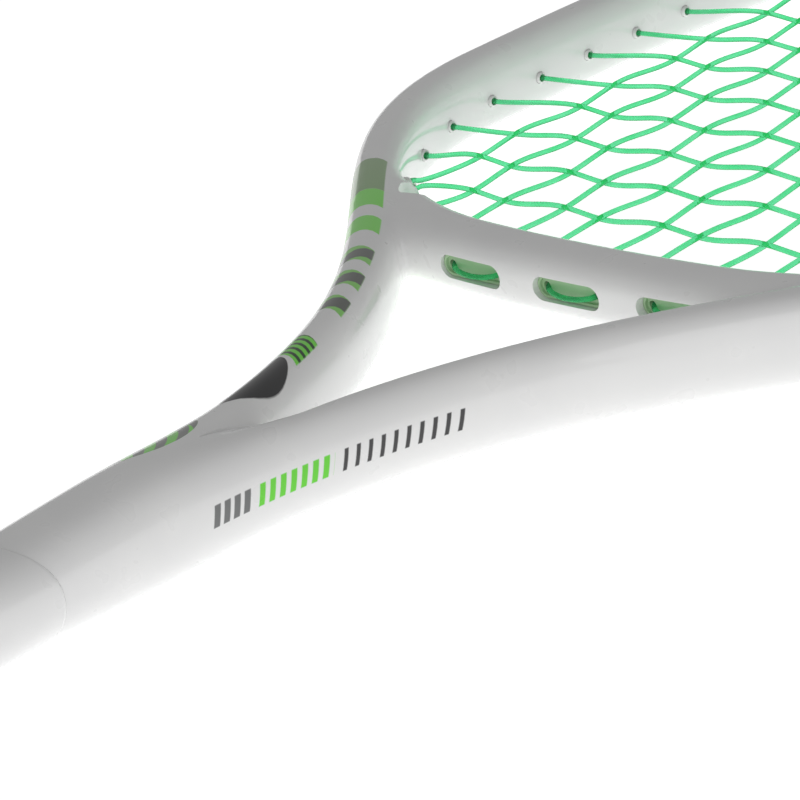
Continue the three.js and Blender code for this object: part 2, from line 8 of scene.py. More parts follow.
import bmesh
import bpy
import numpy as np
from mathutils import Matrix, Vector


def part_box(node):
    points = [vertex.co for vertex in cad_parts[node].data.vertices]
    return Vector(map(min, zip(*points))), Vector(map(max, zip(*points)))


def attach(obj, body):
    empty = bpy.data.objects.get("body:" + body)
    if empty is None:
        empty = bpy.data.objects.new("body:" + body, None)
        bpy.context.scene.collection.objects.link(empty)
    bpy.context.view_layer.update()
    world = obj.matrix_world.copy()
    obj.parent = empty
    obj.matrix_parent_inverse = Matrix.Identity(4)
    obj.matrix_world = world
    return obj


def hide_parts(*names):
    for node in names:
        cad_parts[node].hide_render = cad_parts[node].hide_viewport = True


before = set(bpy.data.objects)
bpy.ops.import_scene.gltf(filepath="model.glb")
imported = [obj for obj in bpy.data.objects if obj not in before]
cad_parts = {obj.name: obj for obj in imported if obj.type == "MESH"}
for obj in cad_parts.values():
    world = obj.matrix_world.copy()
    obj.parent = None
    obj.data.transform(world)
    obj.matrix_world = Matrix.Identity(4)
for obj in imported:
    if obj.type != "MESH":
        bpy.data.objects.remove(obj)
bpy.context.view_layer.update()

MM = 0.001


def box_mm(node):
    """Lowest and highest corner of a CAD node, in millimetres."""
    low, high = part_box(node)
    return np.array(low) / MM, np.array(high) / MM


# ---- driving sizes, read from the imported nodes

HOOP_LOW, HOOP_HIGH = box_mm("head_hoop_right")
BRIDGE_LOW, BRIDGE_HIGH = box_mm("throat_bridge")
SHAFT_LOW, SHAFT_HIGH = box_mm("shaft")
SLEEVE_LOW, SLEEVE_HIGH = box_mm("shaft_sleeve")
BUMPER_LOW, BUMPER_HIGH = box_mm("head_bumper")
GRIP_LOW, GRIP_HIGH = box_mm("grip_wrap")
TAPE_LOW, TAPE_HIGH = box_mm("finishing_tape")
COLLAR_LOW, COLLAR_HIGH = box_mm("grip_collar")
CAP_LOW, CAP_HIGH = box_mm("butt_cap")
PLUG_LOW, PLUG_HIGH = box_mm("butt_plug")

MID_Z = (HOOP_LOW[2] + HOOP_HIGH[2]) / 2

# The side curve runs from the yoke round to the tip: a cubic curve, then a squarish quarter ellipse.
TUBE_WIDTH = 10.4
TUBE_HEIGHT = HOOP_HIGH[2] - HOOP_LOW[2] + 0.4
HEAD_HALF_WIDTH = 101.5
WIDEST_Y = 139.0
TIP_Y = HOOP_HIGH[1] - TUBE_WIDTH / 2
TIP_ROUNDNESS = 2.49
YOKE_START = (4.6, -50.0)
YOKE_HANDLE = 111.0
SIDE_HANDLE = 66.0

# Bridge
BRIDGE_FACE_Y = BRIDGE_LOW[1]
BRIDGE_DEPTH = 12.2
BRIDGE_HEIGHT = BRIDGE_HIGH[2] - BRIDGE_LOW[2]
BRIDGE_CURVE = 0.0012
SLOT_LENGTH = 17.0
SLOT_HEIGHT = 4.8
SLOT_DEPTH = 2.6

# Strings
MAINS = 12
MAIN_PITCH = 13.0
CROSSES = 15
CROSS_START_Y = 92.0
CROSS_PITCH = 15.0
STRING_RADIUS = 0.54
LOOP_SAG = 0.9
WEAVE = 0.62

# String channel round the hoop, and the strip in it
CHANNEL_START_Y = 80.0
CHANNEL_FLOOR = 2.7
CHANNEL_HALF_WIDTH = 3.0
STRIP_THICKNESS = 0.7
MAIN_HOLE_Z = 1.5
CROSS_HOLE_Z = -1.5
BARREL_RADIUS = 1.25
STRING_IN_CHANNEL = CHANNEL_FLOOR + STRIP_THICKNESS + 0.3 + STRING_RADIUS


# ---- the side curve as a table by distance along it

def side_curve(samples=4000):
    """Distance along, points and outward normals of the right-hand side, from the yoke to the tip."""
    start = np.array(YOKE_START)
    widest = np.array((HEAD_HALF_WIDTH, WIDEST_Y))
    t = np.linspace(0, 1, samples)[:, None]
    lower = (
        (1 - t) ** 3 * start
        + 3 * (1 - t) ** 2 * t * (start + (0, YOKE_HANDLE))
        + 3 * (1 - t) * t**2 * (widest - (0, SIDE_HANDLE))
        + t**3 * widest
    )
    angle = np.linspace(0, math.pi / 2, samples)
    power = 2 / TIP_ROUNDNESS
    upper = np.stack(
        (
            HEAD_HALF_WIDTH * np.clip(np.cos(angle), 0, 1) ** power,
            WIDEST_Y + (TIP_Y - WIDEST_Y) * np.sin(angle) ** power,
        ),
        axis=1,
    )
    stem = np.stack((np.full(40, start[0]), np.linspace(start[1] - 60, start[1] - 1.5, 40)), axis=1)
    points = np.concatenate((stem, lower, upper[1:]))
    steps = np.linalg.norm(np.diff(points, axis=0), axis=1)
    along = np.concatenate(([0], np.cumsum(steps)))
    even = np.linspace(0, along[-1], samples)
    points = np.stack([np.interp(even, along, points[:, k]) for k in (0, 1)], axis=1)
    tangent = np.gradient(points, even, axis=0)
    tangent[-1] = (-1, 0)
    tangent /= np.linalg.norm(tangent, axis=1)[:, None]
    normal = np.stack((tangent[:, 1], -tangent[:, 0]), axis=1)
    return even, points, normal


ALONG, RAIL, OUTWARD = side_curve()
SIDE_LENGTH = ALONG[-1]


def rail(s, outward=0.0, side=1):
    """Points at distance s along the side, moved outward."""
    point = np.stack([np.interp(s, ALONG, RAIL[:, k] + outward * OUTWARD[:, k]) for k in (0, 1)], axis=-1)
    return point * (side, 1)


def meet(axis, value, outward, from_s, to_s):
    """Distance along the side where the rail, moved outward, meets a line of constant x or y."""
    s = np.linspace(from_s, to_s, 4000)
    gap = rail(s, outward)[:, axis] - value
    crossing = np.nonzero(gap[:-1] * gap[1:] <= 0)[0][0]
    return s[crossing]


WIDEST_S = ALONG[np.argmax(RAIL[:, 0])]


# ---- the frame's surface as a field: negative inside

def oval_distance(u, v, a, b, exponent):
    """Distance, to first order, from an oval outline with half sizes a and b."""
    pu = (np.abs(u) / a) ** exponent
    pv = (np.abs(v) / b) ** exponent
    total = np.maximum(pu + pv, 1e-9)
    value = total ** (1 / exponent) - 1
    slope_u = total ** (1 / exponent - 1) * (np.abs(u) / a) ** (exponent - 1) / a
    slope_v = total ** (1 / exponent - 1) * (np.abs(v) / b) ** (exponent - 1) / b
    return value / np.maximum(np.hypot(slope_u, slope_v), 1e-3)


def blend(a, b, radius):
    """The union of two fields, with a fillet."""
    h = np.clip(0.5 + 0.5 * (b - a) / radius, 0, 1)
    return b + (a - b) * h - radius * h * (1 - h)


def nearest_on_rail(points, side, start=None):
    """Distance along the side's curve of the place nearest each point."""
    flat = points[:, :2] * (side, 1)
    if start is None:
        coarse = np.arange(0, len(ALONG), 20)
        start = np.empty(len(flat))
        for k in range(0, len(flat), 20000):
            part = flat[k : k + 20000, None, :] - RAIL[None, coarse, :]
            start[k : k + 20000] = ALONG[coarse[np.argmin((part**2).sum(axis=2), axis=1)]]
    s = start
    for _ in range(3):
        centre = rail(s)
        nx = np.interp(s, ALONG, OUTWARD[:, 0])
        ny = np.interp(s, ALONG, OUTWARD[:, 1])
        s = np.clip(s + (flat[:, 0] - centre[:, 0]) * -ny + (flat[:, 1] - centre[:, 1]) * nx, 0, SIDE_LENGTH)
    return s


# The tube's section is nearly round at the yoke and squares up towards the head.
TUBE_EXPONENT = 2.8
YOKE_EXPONENT = 2.15
SQUARING_Y = (20.0, 75.0)


def side_field(points, side, start):
    """Field of one side's tube, how far outward of the rail each point is, and its place along it."""
    s = nearest_on_rail(points, side, start)
    flat = points[:, :2] * (side, 1)
    centre = rail(s)
    nx = np.interp(s, ALONG, OUTWARD[:, 0])
    ny = np.interp(s, ALONG, OUTWARD[:, 1])
    u = (flat[:, 0] - centre[:, 0]) * nx + (flat[:, 1] - centre[:, 1]) * ny
    squareness = YOKE_EXPONENT + (TUBE_EXPONENT - YOKE_EXPONENT) * smoothstep(centre[:, 1], *SQUARING_Y)
    return oval_distance(u, points[:, 2] - MID_Z, TUBE_WIDTH / 2, TUBE_HEIGHT / 2, squareness), u, s


SHAFT_EXPONENT = 2.5
BRIDGE_EXPONENT = 2.7
REACH_PAST_MIDDLE = 3.0
YOKE_MORPH_Y = (-92.0, -40.0)
CROTCH_FILLET = 14.0
CROTCH_FADE_Y = (-16.0, 4.0)
THROAT_FILLET = 2.0
BRIDGE_FILLET = 3.5
ROUGH_BRIDGE_REACH = 56.0
BRIDGE_FLARE = 0.0065
BRIDGE_FLARE_X = 30.0
BRIDGE_FLARE_END_X = 62.0


def frame_field(points, near):
    """Field of the whole moulded frame. near holds each point's place along the two sides."""
    x, y = points[:, 0], points[:, 1]
    right, right_outward, _ = side_field(points, 1, near[0])
    left, left_outward, _ = side_field(points, -1, near[1])
    right = np.maximum(right, -x - REACH_PAST_MIDDLE)
    left = np.maximum(left, x - REACH_PAST_MIDDLE)
    fillet = THROAT_FILLET + (CROTCH_FILLET - THROAT_FILLET) * (1 - smoothstep(y, *CROTCH_FADE_Y))
    arms = blend(right, left, fillet)
    z = points[:, 2] - MID_Z
    shaft = oval_distance(x, z, SHAFT_HIGH[0], (SHAFT_HIGH[2] - SHAFT_LOW[2]) / 2, SHAFT_EXPONENT)
    share = smoothstep(y, *YOKE_MORPH_Y)
    stem = np.maximum(shaft * (1 - share) + arms * share, SHAFT_LOW[1] - y)
    half_depth = bridge_depth(x) / 2
    lean = np.sqrt(1 + (2 * BRIDGE_CURVE * x) ** 2)
    across = (y - face_y(x) - half_depth) / lean
    bridge = oval_distance(across, z, half_depth, BRIDGE_HEIGHT / 2, BRIDGE_EXPONENT)
    bridge = np.maximum(bridge, np.maximum(right_outward, left_outward))
    return blend(stem, bridge, BRIDGE_FILLET)


# ---- mesh helpers

def new_object(name, mesh):
    made = bpy.data.objects.new(name, mesh)
    bpy.context.scene.collection.objects.link(made)
    return made


def mesh_from(name, vertices, faces):
    mesh = bpy.data.meshes.new(name)
    mesh.from_pydata([tuple(v) for v in np.asarray(vertices) * MM], [], faces)
    mesh.validate()
    mesh.update()
    return mesh


def smooth(piece, angle=None):
    for polygon in piece.data.polygons:
        polygon.use_smooth = True
    if angle is not None:
        piece.data.set_sharp_from_angle(angle=math.radians(angle))
    return piece


def apply_modifiers(piece):
    graph = bpy.context.evaluated_depsgraph_get()
    mesh = bpy.data.meshes.new_from_object(piece.evaluated_get(graph))
    piece.modifiers.clear()
    piece.data = mesh
    return piece


def outward_faces(piece):
    work = bmesh.new()
    work.from_mesh(piece.data)
    bmesh.ops.recalc_face_normals(work, faces=work.faces)
    work.to_mesh(piece.data)
    work.free()
    return piece


def ring_faces(rings, sides, closed_along=False, caps=True):
    """Quads between rings of points, with a cap at each end."""
    faces = []
    for k in range(rings if closed_along else rings - 1):
        here, ahead = k * sides, ((k + 1) % rings) * sides
        for m in range(sides):
            n = (m + 1) % sides
            faces.append((here + m, here + n, ahead + n, ahead + m))
    if caps and not closed_along:
        faces.append(tuple(range(sides))[::-1])
        faces.append(tuple((rings - 1) * sides + m for m in range(sides)))
    return faces


def oval(width, height, sides, exponent=2.0):
    angle = (np.arange(sides) + 0.5) / sides * 2 * math.pi
    c, s = np.cos(angle), np.sin(angle)
    return np.stack(
        (
            np.sign(c) * np.abs(c) ** (2 / exponent) * width / 2,
            np.sign(s) * np.abs(s) ** (2 / exponent) * height / 2,
        ),
        axis=1,
    )


def level_sweep(name, path, outline, side=1):
    """A section swept along level points: its first number is outward, its second is up."""
    path = np.asarray(path, float)
    tangent = np.gradient(path[:, :2], axis=0)
    tangent /= np.linalg.norm(tangent, axis=1)[:, None]
    normal = np.stack((tangent[:, 1], -tangent[:, 0]), axis=1) * side
    rings = np.empty((len(path), len(outline), 3))
    rings[:, :, :2] = path[:, None, :2] + outline[None, :, :1] * normal[:, None, :]
    rings[:, :, 2] = path[:, None, 2] + outline[None, :, 1]
    piece = new_object(name, mesh_from(name, rings.reshape(-1, 3), ring_faces(len(path), len(outline))))
    return outward_faces(piece)


def thread(name, path, radius, sides=10):
    """A round string along a path, with no twist."""
    path = np.asarray(path, float)
    tangent = np.gradient(path, axis=0)
    tangent /= np.linalg.norm(tangent, axis=1)[:, None]
    axis = np.cross(tangent[0], (0, 0, 1))
    axis /= np.linalg.norm(axis)
    angle = np.arange(sides) / sides * 2 * math.pi
    rings = np.empty((len(path), sides, 3))
    for k, (point, along) in enumerate(zip(path, tangent)):
        axis = axis - along * (axis @ along)
        axis /= np.linalg.norm(axis)
        other = np.cross(along, axis)
        rings[k] = point + radius * (np.cos(angle)[:, None] * axis + np.sin(angle)[:, None] * other)
    piece = new_object(name, mesh_from(name, rings.reshape(-1, 3), ring_faces(len(path), sides)))
    return smooth(outward_faces(piece), 50)


def rod(name, start, end, radius, sides=20):
    start, end = np.asarray(start, float), np.asarray(end, float)
    return thread(name, [start + (end - start) * t for t in (0, 0.5, 1)], radius, sides)


def remove(piece):
    bpy.data.objects.remove(piece)


# ---- the moulded frame: shaft, yoke, hoop and bridge in one skin

FRAME_VOXEL = 1.15


def smoothstep(value, low, high):
    t = np.clip((value - low) / (high - low), 0, 1)
    return t * t * (3 - 2 * t)


def side_path(side, from_s, to_s, count, outward=0.0, z=0.0):
    flat = rail(np.linspace(from_s, to_s, count), outward, side)
    return np.column_stack((flat, np.full(count, MID_Z + z)))


def over_the_tip(path, side, reach=2.0):
    """The path, carried a little past the middle of the racket."""
    past = path[-1] + np.array((-side * reach, 0, 0))
    return np.concatenate((path, past[None]))


def straight(low_y, high_y, count=2):
    y = np.linspace(low_y, high_y, count)
    return np.column_stack((np.zeros(count), y, np.full(count, MID_Z)))


def rough_frame():
    """Overlapping tubes that roughly fill the frame, fused into one even skin."""
    section = oval(TUBE_WIDTH, TUBE_HEIGHT, 16, TUBE_EXPONENT)
    parts = []
    for side in (1, -1):
        path = over_the_tip(side_path(side, 20, SIDE_LENGTH, 90), side)
        parts.append(level_sweep("rough_side", path, section, side))
    shaft_section = oval(2 * SHAFT_HIGH[0], SHAFT_HIGH[2] - SHAFT_LOW[2], 16, SHAFT_EXPONENT)
    parts.append(level_sweep("rough_shaft", straight(SHAFT_LOW[1], SHAFT_HIGH[1] + 20), shaft_section))
    x = np.linspace(-ROUGH_BRIDGE_REACH, ROUGH_BRIDGE_REACH, 20)
    bridge_y = BRIDGE_FACE_Y + BRIDGE_DEPTH / 2 + BRIDGE_CURVE * x * x
    bridge_path = np.column_stack((x, bridge_y, np.full(len(x), MID_Z)))
    bridge_section = oval(BRIDGE_DEPTH, BRIDGE_HEIGHT, 12, BRIDGE_EXPONENT)
    parts.append(level_sweep("rough_bridge", bridge_path, bridge_section))
    skin = join_pieces("frame_shell", parts)
    remesh = skin.modifiers.new("fuse", "REMESH")
    remesh.mode = "VOXEL"
    remesh.voxel_size = FRAME_VOXEL * MM
    return apply_modifiers(skin)


def join_pieces(name, parts):
    with bpy.context.temp_override(
        active_object=parts[0], selected_editable_objects=parts, selected_objects=parts
    ):
        bpy.ops.object.join()
    parts[0].name = name
    parts[0].data.name = name
    return parts[0]


def points_of(piece):
    flat = np.empty(len(piece.data.vertices) * 3)
    piece.data.vertices.foreach_get("co", flat)
    return flat.reshape(-1, 3) / MM


def move_points(piece, points):
    piece.data.vertices.foreach_set("co", (points * MM).ravel())
    piece.data.update()


def slope_at(points, near, step=0.03):
    """The frame field and its slope at the points."""
    value = frame_field(points, near)
    slope = np.empty_like(points)
    for axis in range(3):
        nudged = points.copy()
        nudged[:, axis] += step
        slope[:, axis] = (frame_field(nudged, near) - value) / step
    return value, slope


def settle(points, near, rounds=6):
    """Moves points onto the field's surface along its slope."""
    for _ in range(rounds):
        value, slope = slope_at(points, near)
        length = np.maximum((slope**2).sum(axis=1), 0.2)
        points = points - np.clip(value / length, -1, 1)[:, None] * slope
    return points


EVENING_ROUNDS = 3


def edges_of(piece):
    flat = np.empty(len(piece.data.edges) * 2, int)
    piece.data.edges.foreach_get("vertices", flat)
    return flat.reshape(-1, 2)


def evened(points, edges, rounds):
    """Points moved towards the middle of their neighbours, so that the mesh lies evenly."""
    count = np.bincount(edges.ravel(), minlength=len(points))[:, None]
    for _ in range(rounds):
        total = np.zeros_like(points)
        np.add.at(total, edges[:, 0], points[edges[:, 1]])
        np.add.at(total, edges[:, 1], points[edges[:, 0]])
        points = points * 0.4 + total / count * 0.6
    return points


def give_attribute(piece, name, values):
    attribute = piece.data.attributes.new(name, "FLOAT", "POINT")
    attribute.data.foreach_set("value", np.asarray(values, np.float32))


def slot_tool(x, length, height, from_y, to_y):
    """A stadium-shaped prism standing along Y."""
    turn = np.linspace(-math.pi / 2, math.pi / 2, 12)
    straight_half = (length - height) / 2
    right = np.column_stack((straight_half + np.cos(turn) * height / 2, np.sin(turn) * height / 2))
    outline = np.concatenate((right, -right))
    rings = []
    for y in (from_y, to_y):
        rings.append(np.column_stack((x + outline[:, 0], np.full(len(outline), y), MID_Z + outline[:, 1])))
    mesh = mesh_from("slot", np.concatenate(rings), ring_faces(2, len(outline)))
    return outward_faces(new_object("slot", mesh))


def main_x(i):
    return (i - (MAINS - 1) / 2) * MAIN_PITCH


def cross_y(j):
    return CROSS_START_Y + j * CROSS_PITCH


def face_y(x):
    return BRIDGE_FACE_Y + BRIDGE_CURVE * x * x


def bridge_depth(x):
    """The bridge is deepest where it runs into the hoop."""
    spread = np.clip(np.abs(x), BRIDGE_FLARE_X, BRIDGE_FLARE_END_X) - BRIDGE_FLARE_X
    return BRIDGE_DEPTH + BRIDGE_FLARE * spread**2


def back_y(x):
    return face_y(x) + bridge_depth(x)


def hoop_end(axis, value, side, z, low_s, high_s):
    """Where a string meets the hoop: its distance along the side, and its point at any outward offset."""
    def at(outward):
        s = meet(axis, abs(value), outward, low_s, high_s)
        point = rail(s, outward, side)
        point[axis] = value
        return np.array((point[0], point[1], MID_Z + z))

    return {"s": meet(axis, abs(value), STRING_IN_CHANNEL, low_s, high_s), "side": side, "z": z, "at": at}


def main_top(i):
    return hoop_end(0, main_x(i), math.copysign(1, main_x(i)), MAIN_HOLE_Z, WIDEST_S + 5, SIDE_LENGTH)


def main_foot(i):
    return hoop_end(0, main_x(i), math.copysign(1, main_x(i)), MAIN_HOLE_Z, 70, WIDEST_S - 5)


def cross_end(j, side):
    return hoop_end(1, cross_y(j), side, CROSS_HOLE_Z, 70, SIDE_LENGTH - 20)


SLOT_PAIRS = ((3, 4), (5, 6), (7, 8))
CORNER_MAINS = (2, 9)
TURN_MAINS = {1: MAINS - 2, -1: 1}


def ends_on(side):
    ends = [cross_end(j, side) for j in range(CROSSES)]
    ends += [main_top(i) for i in range(MAINS) if main_x(i) * side > 0]
    ends.append(main_foot(MAINS - 1 if side > 0 else 0))
    return ends


def channel_start_s():
    return meet(1, CHANNEL_START_Y, 0, 70, WIDEST_S)


def fuse_tools(tools):
    """One solid out of overlapping tools."""
    whole = tools[0]
    for tool in tools[1:]:
        modifier = whole.modifiers.new("add", "BOOLEAN")
        modifier.operation = "UNION"
        modifier.solver = "MANIFOLD"
        modifier.object = tool
        apply_modifiers(whole)
        remove(tool)
    return whole


def carve(piece, tools):
    whole = fuse_tools(tools)
    modifier = piece.modifiers.new("carve", "BOOLEAN")
    modifier.operation = "DIFFERENCE"
    modifier.solver = "MANIFOLD"
    modifier.object = whole
    apply_modifiers(piece)
    remove(whole)
    return piece


def channel_outline(floor, top, half_width, rounding=0.5):
    return np.array(
        (
            (floor, -half_width + rounding),
            (floor + rounding, -half_width),
            (top, -half_width - rounding),
            (top, half_width + rounding),
            (floor + rounding, half_width),
            (floor, half_width - rounding),
        )
    )


HOLE_RADIUS = BARREL_RADIUS + 0.1
HOLE_SIDES = 12
HOLE_INSIDE = TUBE_WIDTH * 0.7
HOLE_OUTSIDE = TUBE_WIDTH * 0.45
TURN_HOLE_DEPTH = 9


def frame_tools():
    """The string channel, the string holes and the slots in the bridge."""
    outline = channel_outline(CHANNEL_FLOOR, TUBE_WIDTH, CHANNEL_HALF_WIDTH)
    tools = []
    for side in (1, -1):
        path = over_the_tip(side_path(side, channel_start_s(), SIDE_LENGTH, 110), side)
        tools.append(level_sweep("channel", path, outline, side))
        for end in ends_on(side):
            inside, outside = end["at"](-HOLE_INSIDE), end["at"](HOLE_OUTSIDE)
            tools.append(rod("hole", inside, outside, HOLE_RADIUS, HOLE_SIDES))
        turn = TURN_MAINS[side]
        foot = main_foot(turn)["at"](-HOLE_INSIDE)
        tools.append(rod("hole", foot, foot - (0, TURN_HOLE_DEPTH, 0), HOLE_RADIUS, HOLE_SIDES))
    for pair in SLOT_PAIRS:
        x = (main_x(pair[0]) + main_x(pair[1])) / 2
        tools.append(slot_tool(x, SLOT_LENGTH, SLOT_HEIGHT, face_y(x) - 3, face_y(x) + SLOT_DEPTH))
    for i in (*sum(SLOT_PAIRS, ()), *CORNER_MAINS):
        x = main_x(i)
        start = (x, face_y(x) + (2 if i not in CORNER_MAINS else BRIDGE_DEPTH / 2), MID_Z)
        tools.append(rod("hole", start, (x, back_y(x) + 4, MID_Z), HOLE_RADIUS, HOLE_SIDES))
    return tools


ON_SURFACE = 0.04
SAME_FACING = 0.96


def shade_by_field(shell):
    """Gives the moulded surface the field's own normals. Walls that were cut keep theirs."""
    mesh = shell.data
    points = points_of(shell)
    near = [nearest_on_rail(points, side) for side in (1, -1)]
    value, slope = slope_at(points, near)
    slope /= np.maximum(np.linalg.norm(slope, axis=1), 1e-6)[:, None]
    corner = np.empty(len(mesh.loops), int)
    mesh.loops.foreach_get("vertex_index", corner)
    normals = np.empty(len(mesh.loops) * 3, np.float32)
    mesh.corner_normals.foreach_get("vector", normals)
    normals = normals.reshape(-1, 3)
    facing = (normals * slope[corner]).sum(axis=1)
    moulded = (np.abs(value[corner]) < ON_SURFACE) & (facing > SAME_FACING)
    mesh.normals_split_custom_set(np.where(moulded[:, None], slope[corner], normals))


def frame_shell():
    shell = rough_frame()
    points = points_of(shell)
    near = [nearest_on_rail(points, side) for side in (1, -1)]
    points = settle(points, near, 4)
    edges = edges_of(shell)
    for _ in range(EVENING_ROUNDS):
        points = settle(evened(points, edges, 3), near, 3)
    move_points(shell, points)
    carve(shell, frame_tools())
    points = points_of(shell)
    side = np.where(points[:, 0] >= 0, 1, -1)
    right, left = (side_field(points, k, nearest_on_rail(points, k)) for k in (1, -1))
    give_attribute(shell, "along", np.where(side > 0, right[2], left[2]))
    give_attribute(shell, "across", np.where(side > 0, right[1], left[1]))
    smooth(shell, 38)
    shade_by_field(shell)
    return shell


# ---- strings

STRING_STEP = 2.0
INNER_CLEAR = TUBE_WIDTH / 2 + 1.2
CHANNEL_BEND = 1.7
TURN_Y = face_y(main_x(MAINS - 2)) + BRIDGE_DEPTH / 2 - 1.3


def curve_through(points, step=STRING_STEP):
    """A smooth curve through the points (centripetal Catmull-Rom), sampled every step or closer."""
    p = np.asarray(points, float)
    p = np.concatenate(([2 * p[0] - p[1]], p, [2 * p[-1] - p[-2]]))
    knots = np.concatenate(([0], np.cumsum(np.linalg.norm(np.diff(p, axis=0), axis=1) ** 0.5)))
    samples = []
    for k in range(1, len(p) - 2):
        t0, t1, t2, t3 = knots[k - 1 : k + 3]
        count = max(3, math.ceil(np.linalg.norm(p[k + 1] - p[k]) / step))
        t = np.linspace(t1, t2, count, endpoint=False)[:, None]
        a = (t1 - t) / (t1 - t0) * p[k - 1] + (t - t0) / (t1 - t0) * p[k]
        b = (t2 - t) / (t2 - t1) * p[k] + (t - t1) / (t2 - t1) * p[k + 1]
        c = (t3 - t) / (t3 - t2) * p[k + 1] + (t - t2) / (t3 - t2) * p[k + 2]
        d = (t2 - t) / (t2 - t0) * a + (t - t0) / (t2 - t0) * b
        e = (t3 - t) / (t3 - t1) * b + (t - t1) / (t3 - t1) * c
        samples.append((t2 - t) / (t2 - t1) * d + (t - t1) / (t2 - t1) * e)
    samples.append(p[-2][None])
    return np.concatenate(samples)


def channel_point(s, end):
    flat = rail(s, STRING_IN_CHANNEL, end["side"])
    return np.array((flat[0], flat[1], MID_Z + end["z"]))


def channel_run(a, b):
    """Out through one hole, along the channel and in through the next."""
    heading = math.copysign(1, b["s"] - a["s"])
    first, last = a["s"] + heading * CHANNEL_BEND, b["s"] - heading * CHANNEL_BEND
    along = [channel_point(s, a) for s in np.linspace(first, last, 4)]
    into = [end["at"](STRING_IN_CHANNEL - CHANNEL_BEND) for end in (a, b)]
    outside = [end["at"](-INNER_CLEAR) for end in (a, b)]
    return [outside[0], into[0], *along, into[1], outside[1]]


def knotted_end(end):
    return [end["at"](-INNER_CLEAR), end["at"](CHANNEL_FLOOR + STRIP_THICKNESS)]


def crossings_of_main(i):
    points = []
    for j in range(CROSSES):
        if abs(main_x(i)) < abs(cross_end(j, 1)["at"](-TUBE_WIDTH / 2 - 1)[0]):
            points.append(np.array((main_x(i), cross_y(j), MID_Z + (-WEAVE if (i + j) % 2 else WEAVE))))
    return points


def slot_loop(a, b):
    """Out through the bridge, across a slot and back in."""
    x_a, x_b = main_x(a), main_x(b)
    middle = (x_a + x_b) / 2
    floor = face_y(middle) + SLOT_DEPTH
    inside = face_y(middle) + BRIDGE_DEPTH + 2
    low = face_y(middle) + 0.15
    path = [
        (x_a, inside, 0),
        (x_a, floor + 0.2, 0),
        (x_a + 1.3, low + 0.95, -0.5 * LOOP_SAG),
        (middle, low, -LOOP_SAG),
        (x_b - 1.3, low + 0.95, -0.5 * LOOP_SAG),
        (x_b, floor + 0.2, 0),
        (x_b, inside, 0),
    ]
    return [np.array((x, y, MID_Z + z)) for x, y, z in path]


def hidden_turn(side):
    """From the second main into the tube, and out through the end of the bridge as the third."""
    outer = main_x(TURN_MAINS[side])
    inner = outer - side * MAIN_PITCH
    z = MID_Z + MAIN_HOLE_Z
    return [
        main_foot(TURN_MAINS[side])["at"](-INNER_CLEAR),
        np.array((outer, TURN_Y, z)),
        np.array((inner + side * 2.5, TURN_Y, z)),
        np.array((inner, TURN_Y + 1.5, MID_Z + 0.6)),
        np.array((inner, face_y(inner) + BRIDGE_DEPTH - 2.6, MID_Z)),
        np.array((inner, back_y(inner) + 2, MID_Z)),
    ]


def main_route():
    points = knotted_end(main_foot(0))[::-1]
    for i in range(MAINS):
        rising = i % 2 == 0
        crossings = crossings_of_main(i)
        points += crossings if rising else crossings[::-1]
        if rising:
            points += channel_run(main_top(i), main_top(i + 1))
        elif i == 1:
            points += hidden_turn(-1)
        elif i == MAINS - 3:
            points += hidden_turn(1)[::-1]
        elif i < MAINS - 1:
            points += slot_loop(i, i + 1)
    return points + knotted_end(main_foot(MAINS - 1))


def cross_route():
    points = knotted_end(cross_end(0, 1))[::-1]
    for j in range(CROSSES):
        heading = -1 if j % 2 == 0 else 1
        reach = abs(cross_end(j, 1)["at"](-TUBE_WIDTH / 2 - 1)[0])
        columns = [i for i in range(MAINS) if abs(main_x(i)) < reach]
        for i in columns[::heading]:
            points.append(np.array((main_x(i), cross_y(j), MID_Z + (WEAVE if (i + j) % 2 else -WEAVE))))
        end = cross_end(j, heading)
        if j < CROSSES - 1:
            points += channel_run(end, cross_end(j + 1, heading))
        else:
            points += knotted_end(end)
    return points


KNOTTED_ENDS = (main_foot(0), main_foot(MAINS - 1), cross_end(0, 1), cross_end(CROSSES - 1, -1))


def string_knot(name, end):
    """An overhand knot pulled down on the strip."""
    angle = np.linspace(0, 2 * math.pi, 64)
    along = 0.62 * (np.sin(angle) + 1.1 * np.sin(2 * angle))
    up = 0.62 * (np.cos(angle) - 1.1 * np.cos(2 * angle))
    out = -0.22 * np.sin(3 * angle)
    centre = end["at"](STRING_IN_CHANNEL)
    before, after = (rail(end["s"] + step, STRING_IN_CHANNEL, end["side"]) for step in (-1, 1))
    ahead = after - before
    ahead = np.append(ahead / np.linalg.norm(ahead), 0)
    outward = np.cross(ahead, (0, 0, 1)) * end["side"]
    path = centre + along[:, None] * ahead + up[:, None] * np.array((0, 0, 1)) + out[:, None] * outward
    return thread(name, path, 0.38, 8)


# ---- grommets and bumper

STRIP_WIDTH = 5.2
BARREL_BORE = 0.85
BARREL_PROUD = 0.7
BUMPER_PROUD = BUMPER_HIGH[1] - (TIP_Y + TUBE_WIDTH / 2) - 0.3
BUMPER_START_Y = BUMPER_LOW[1]


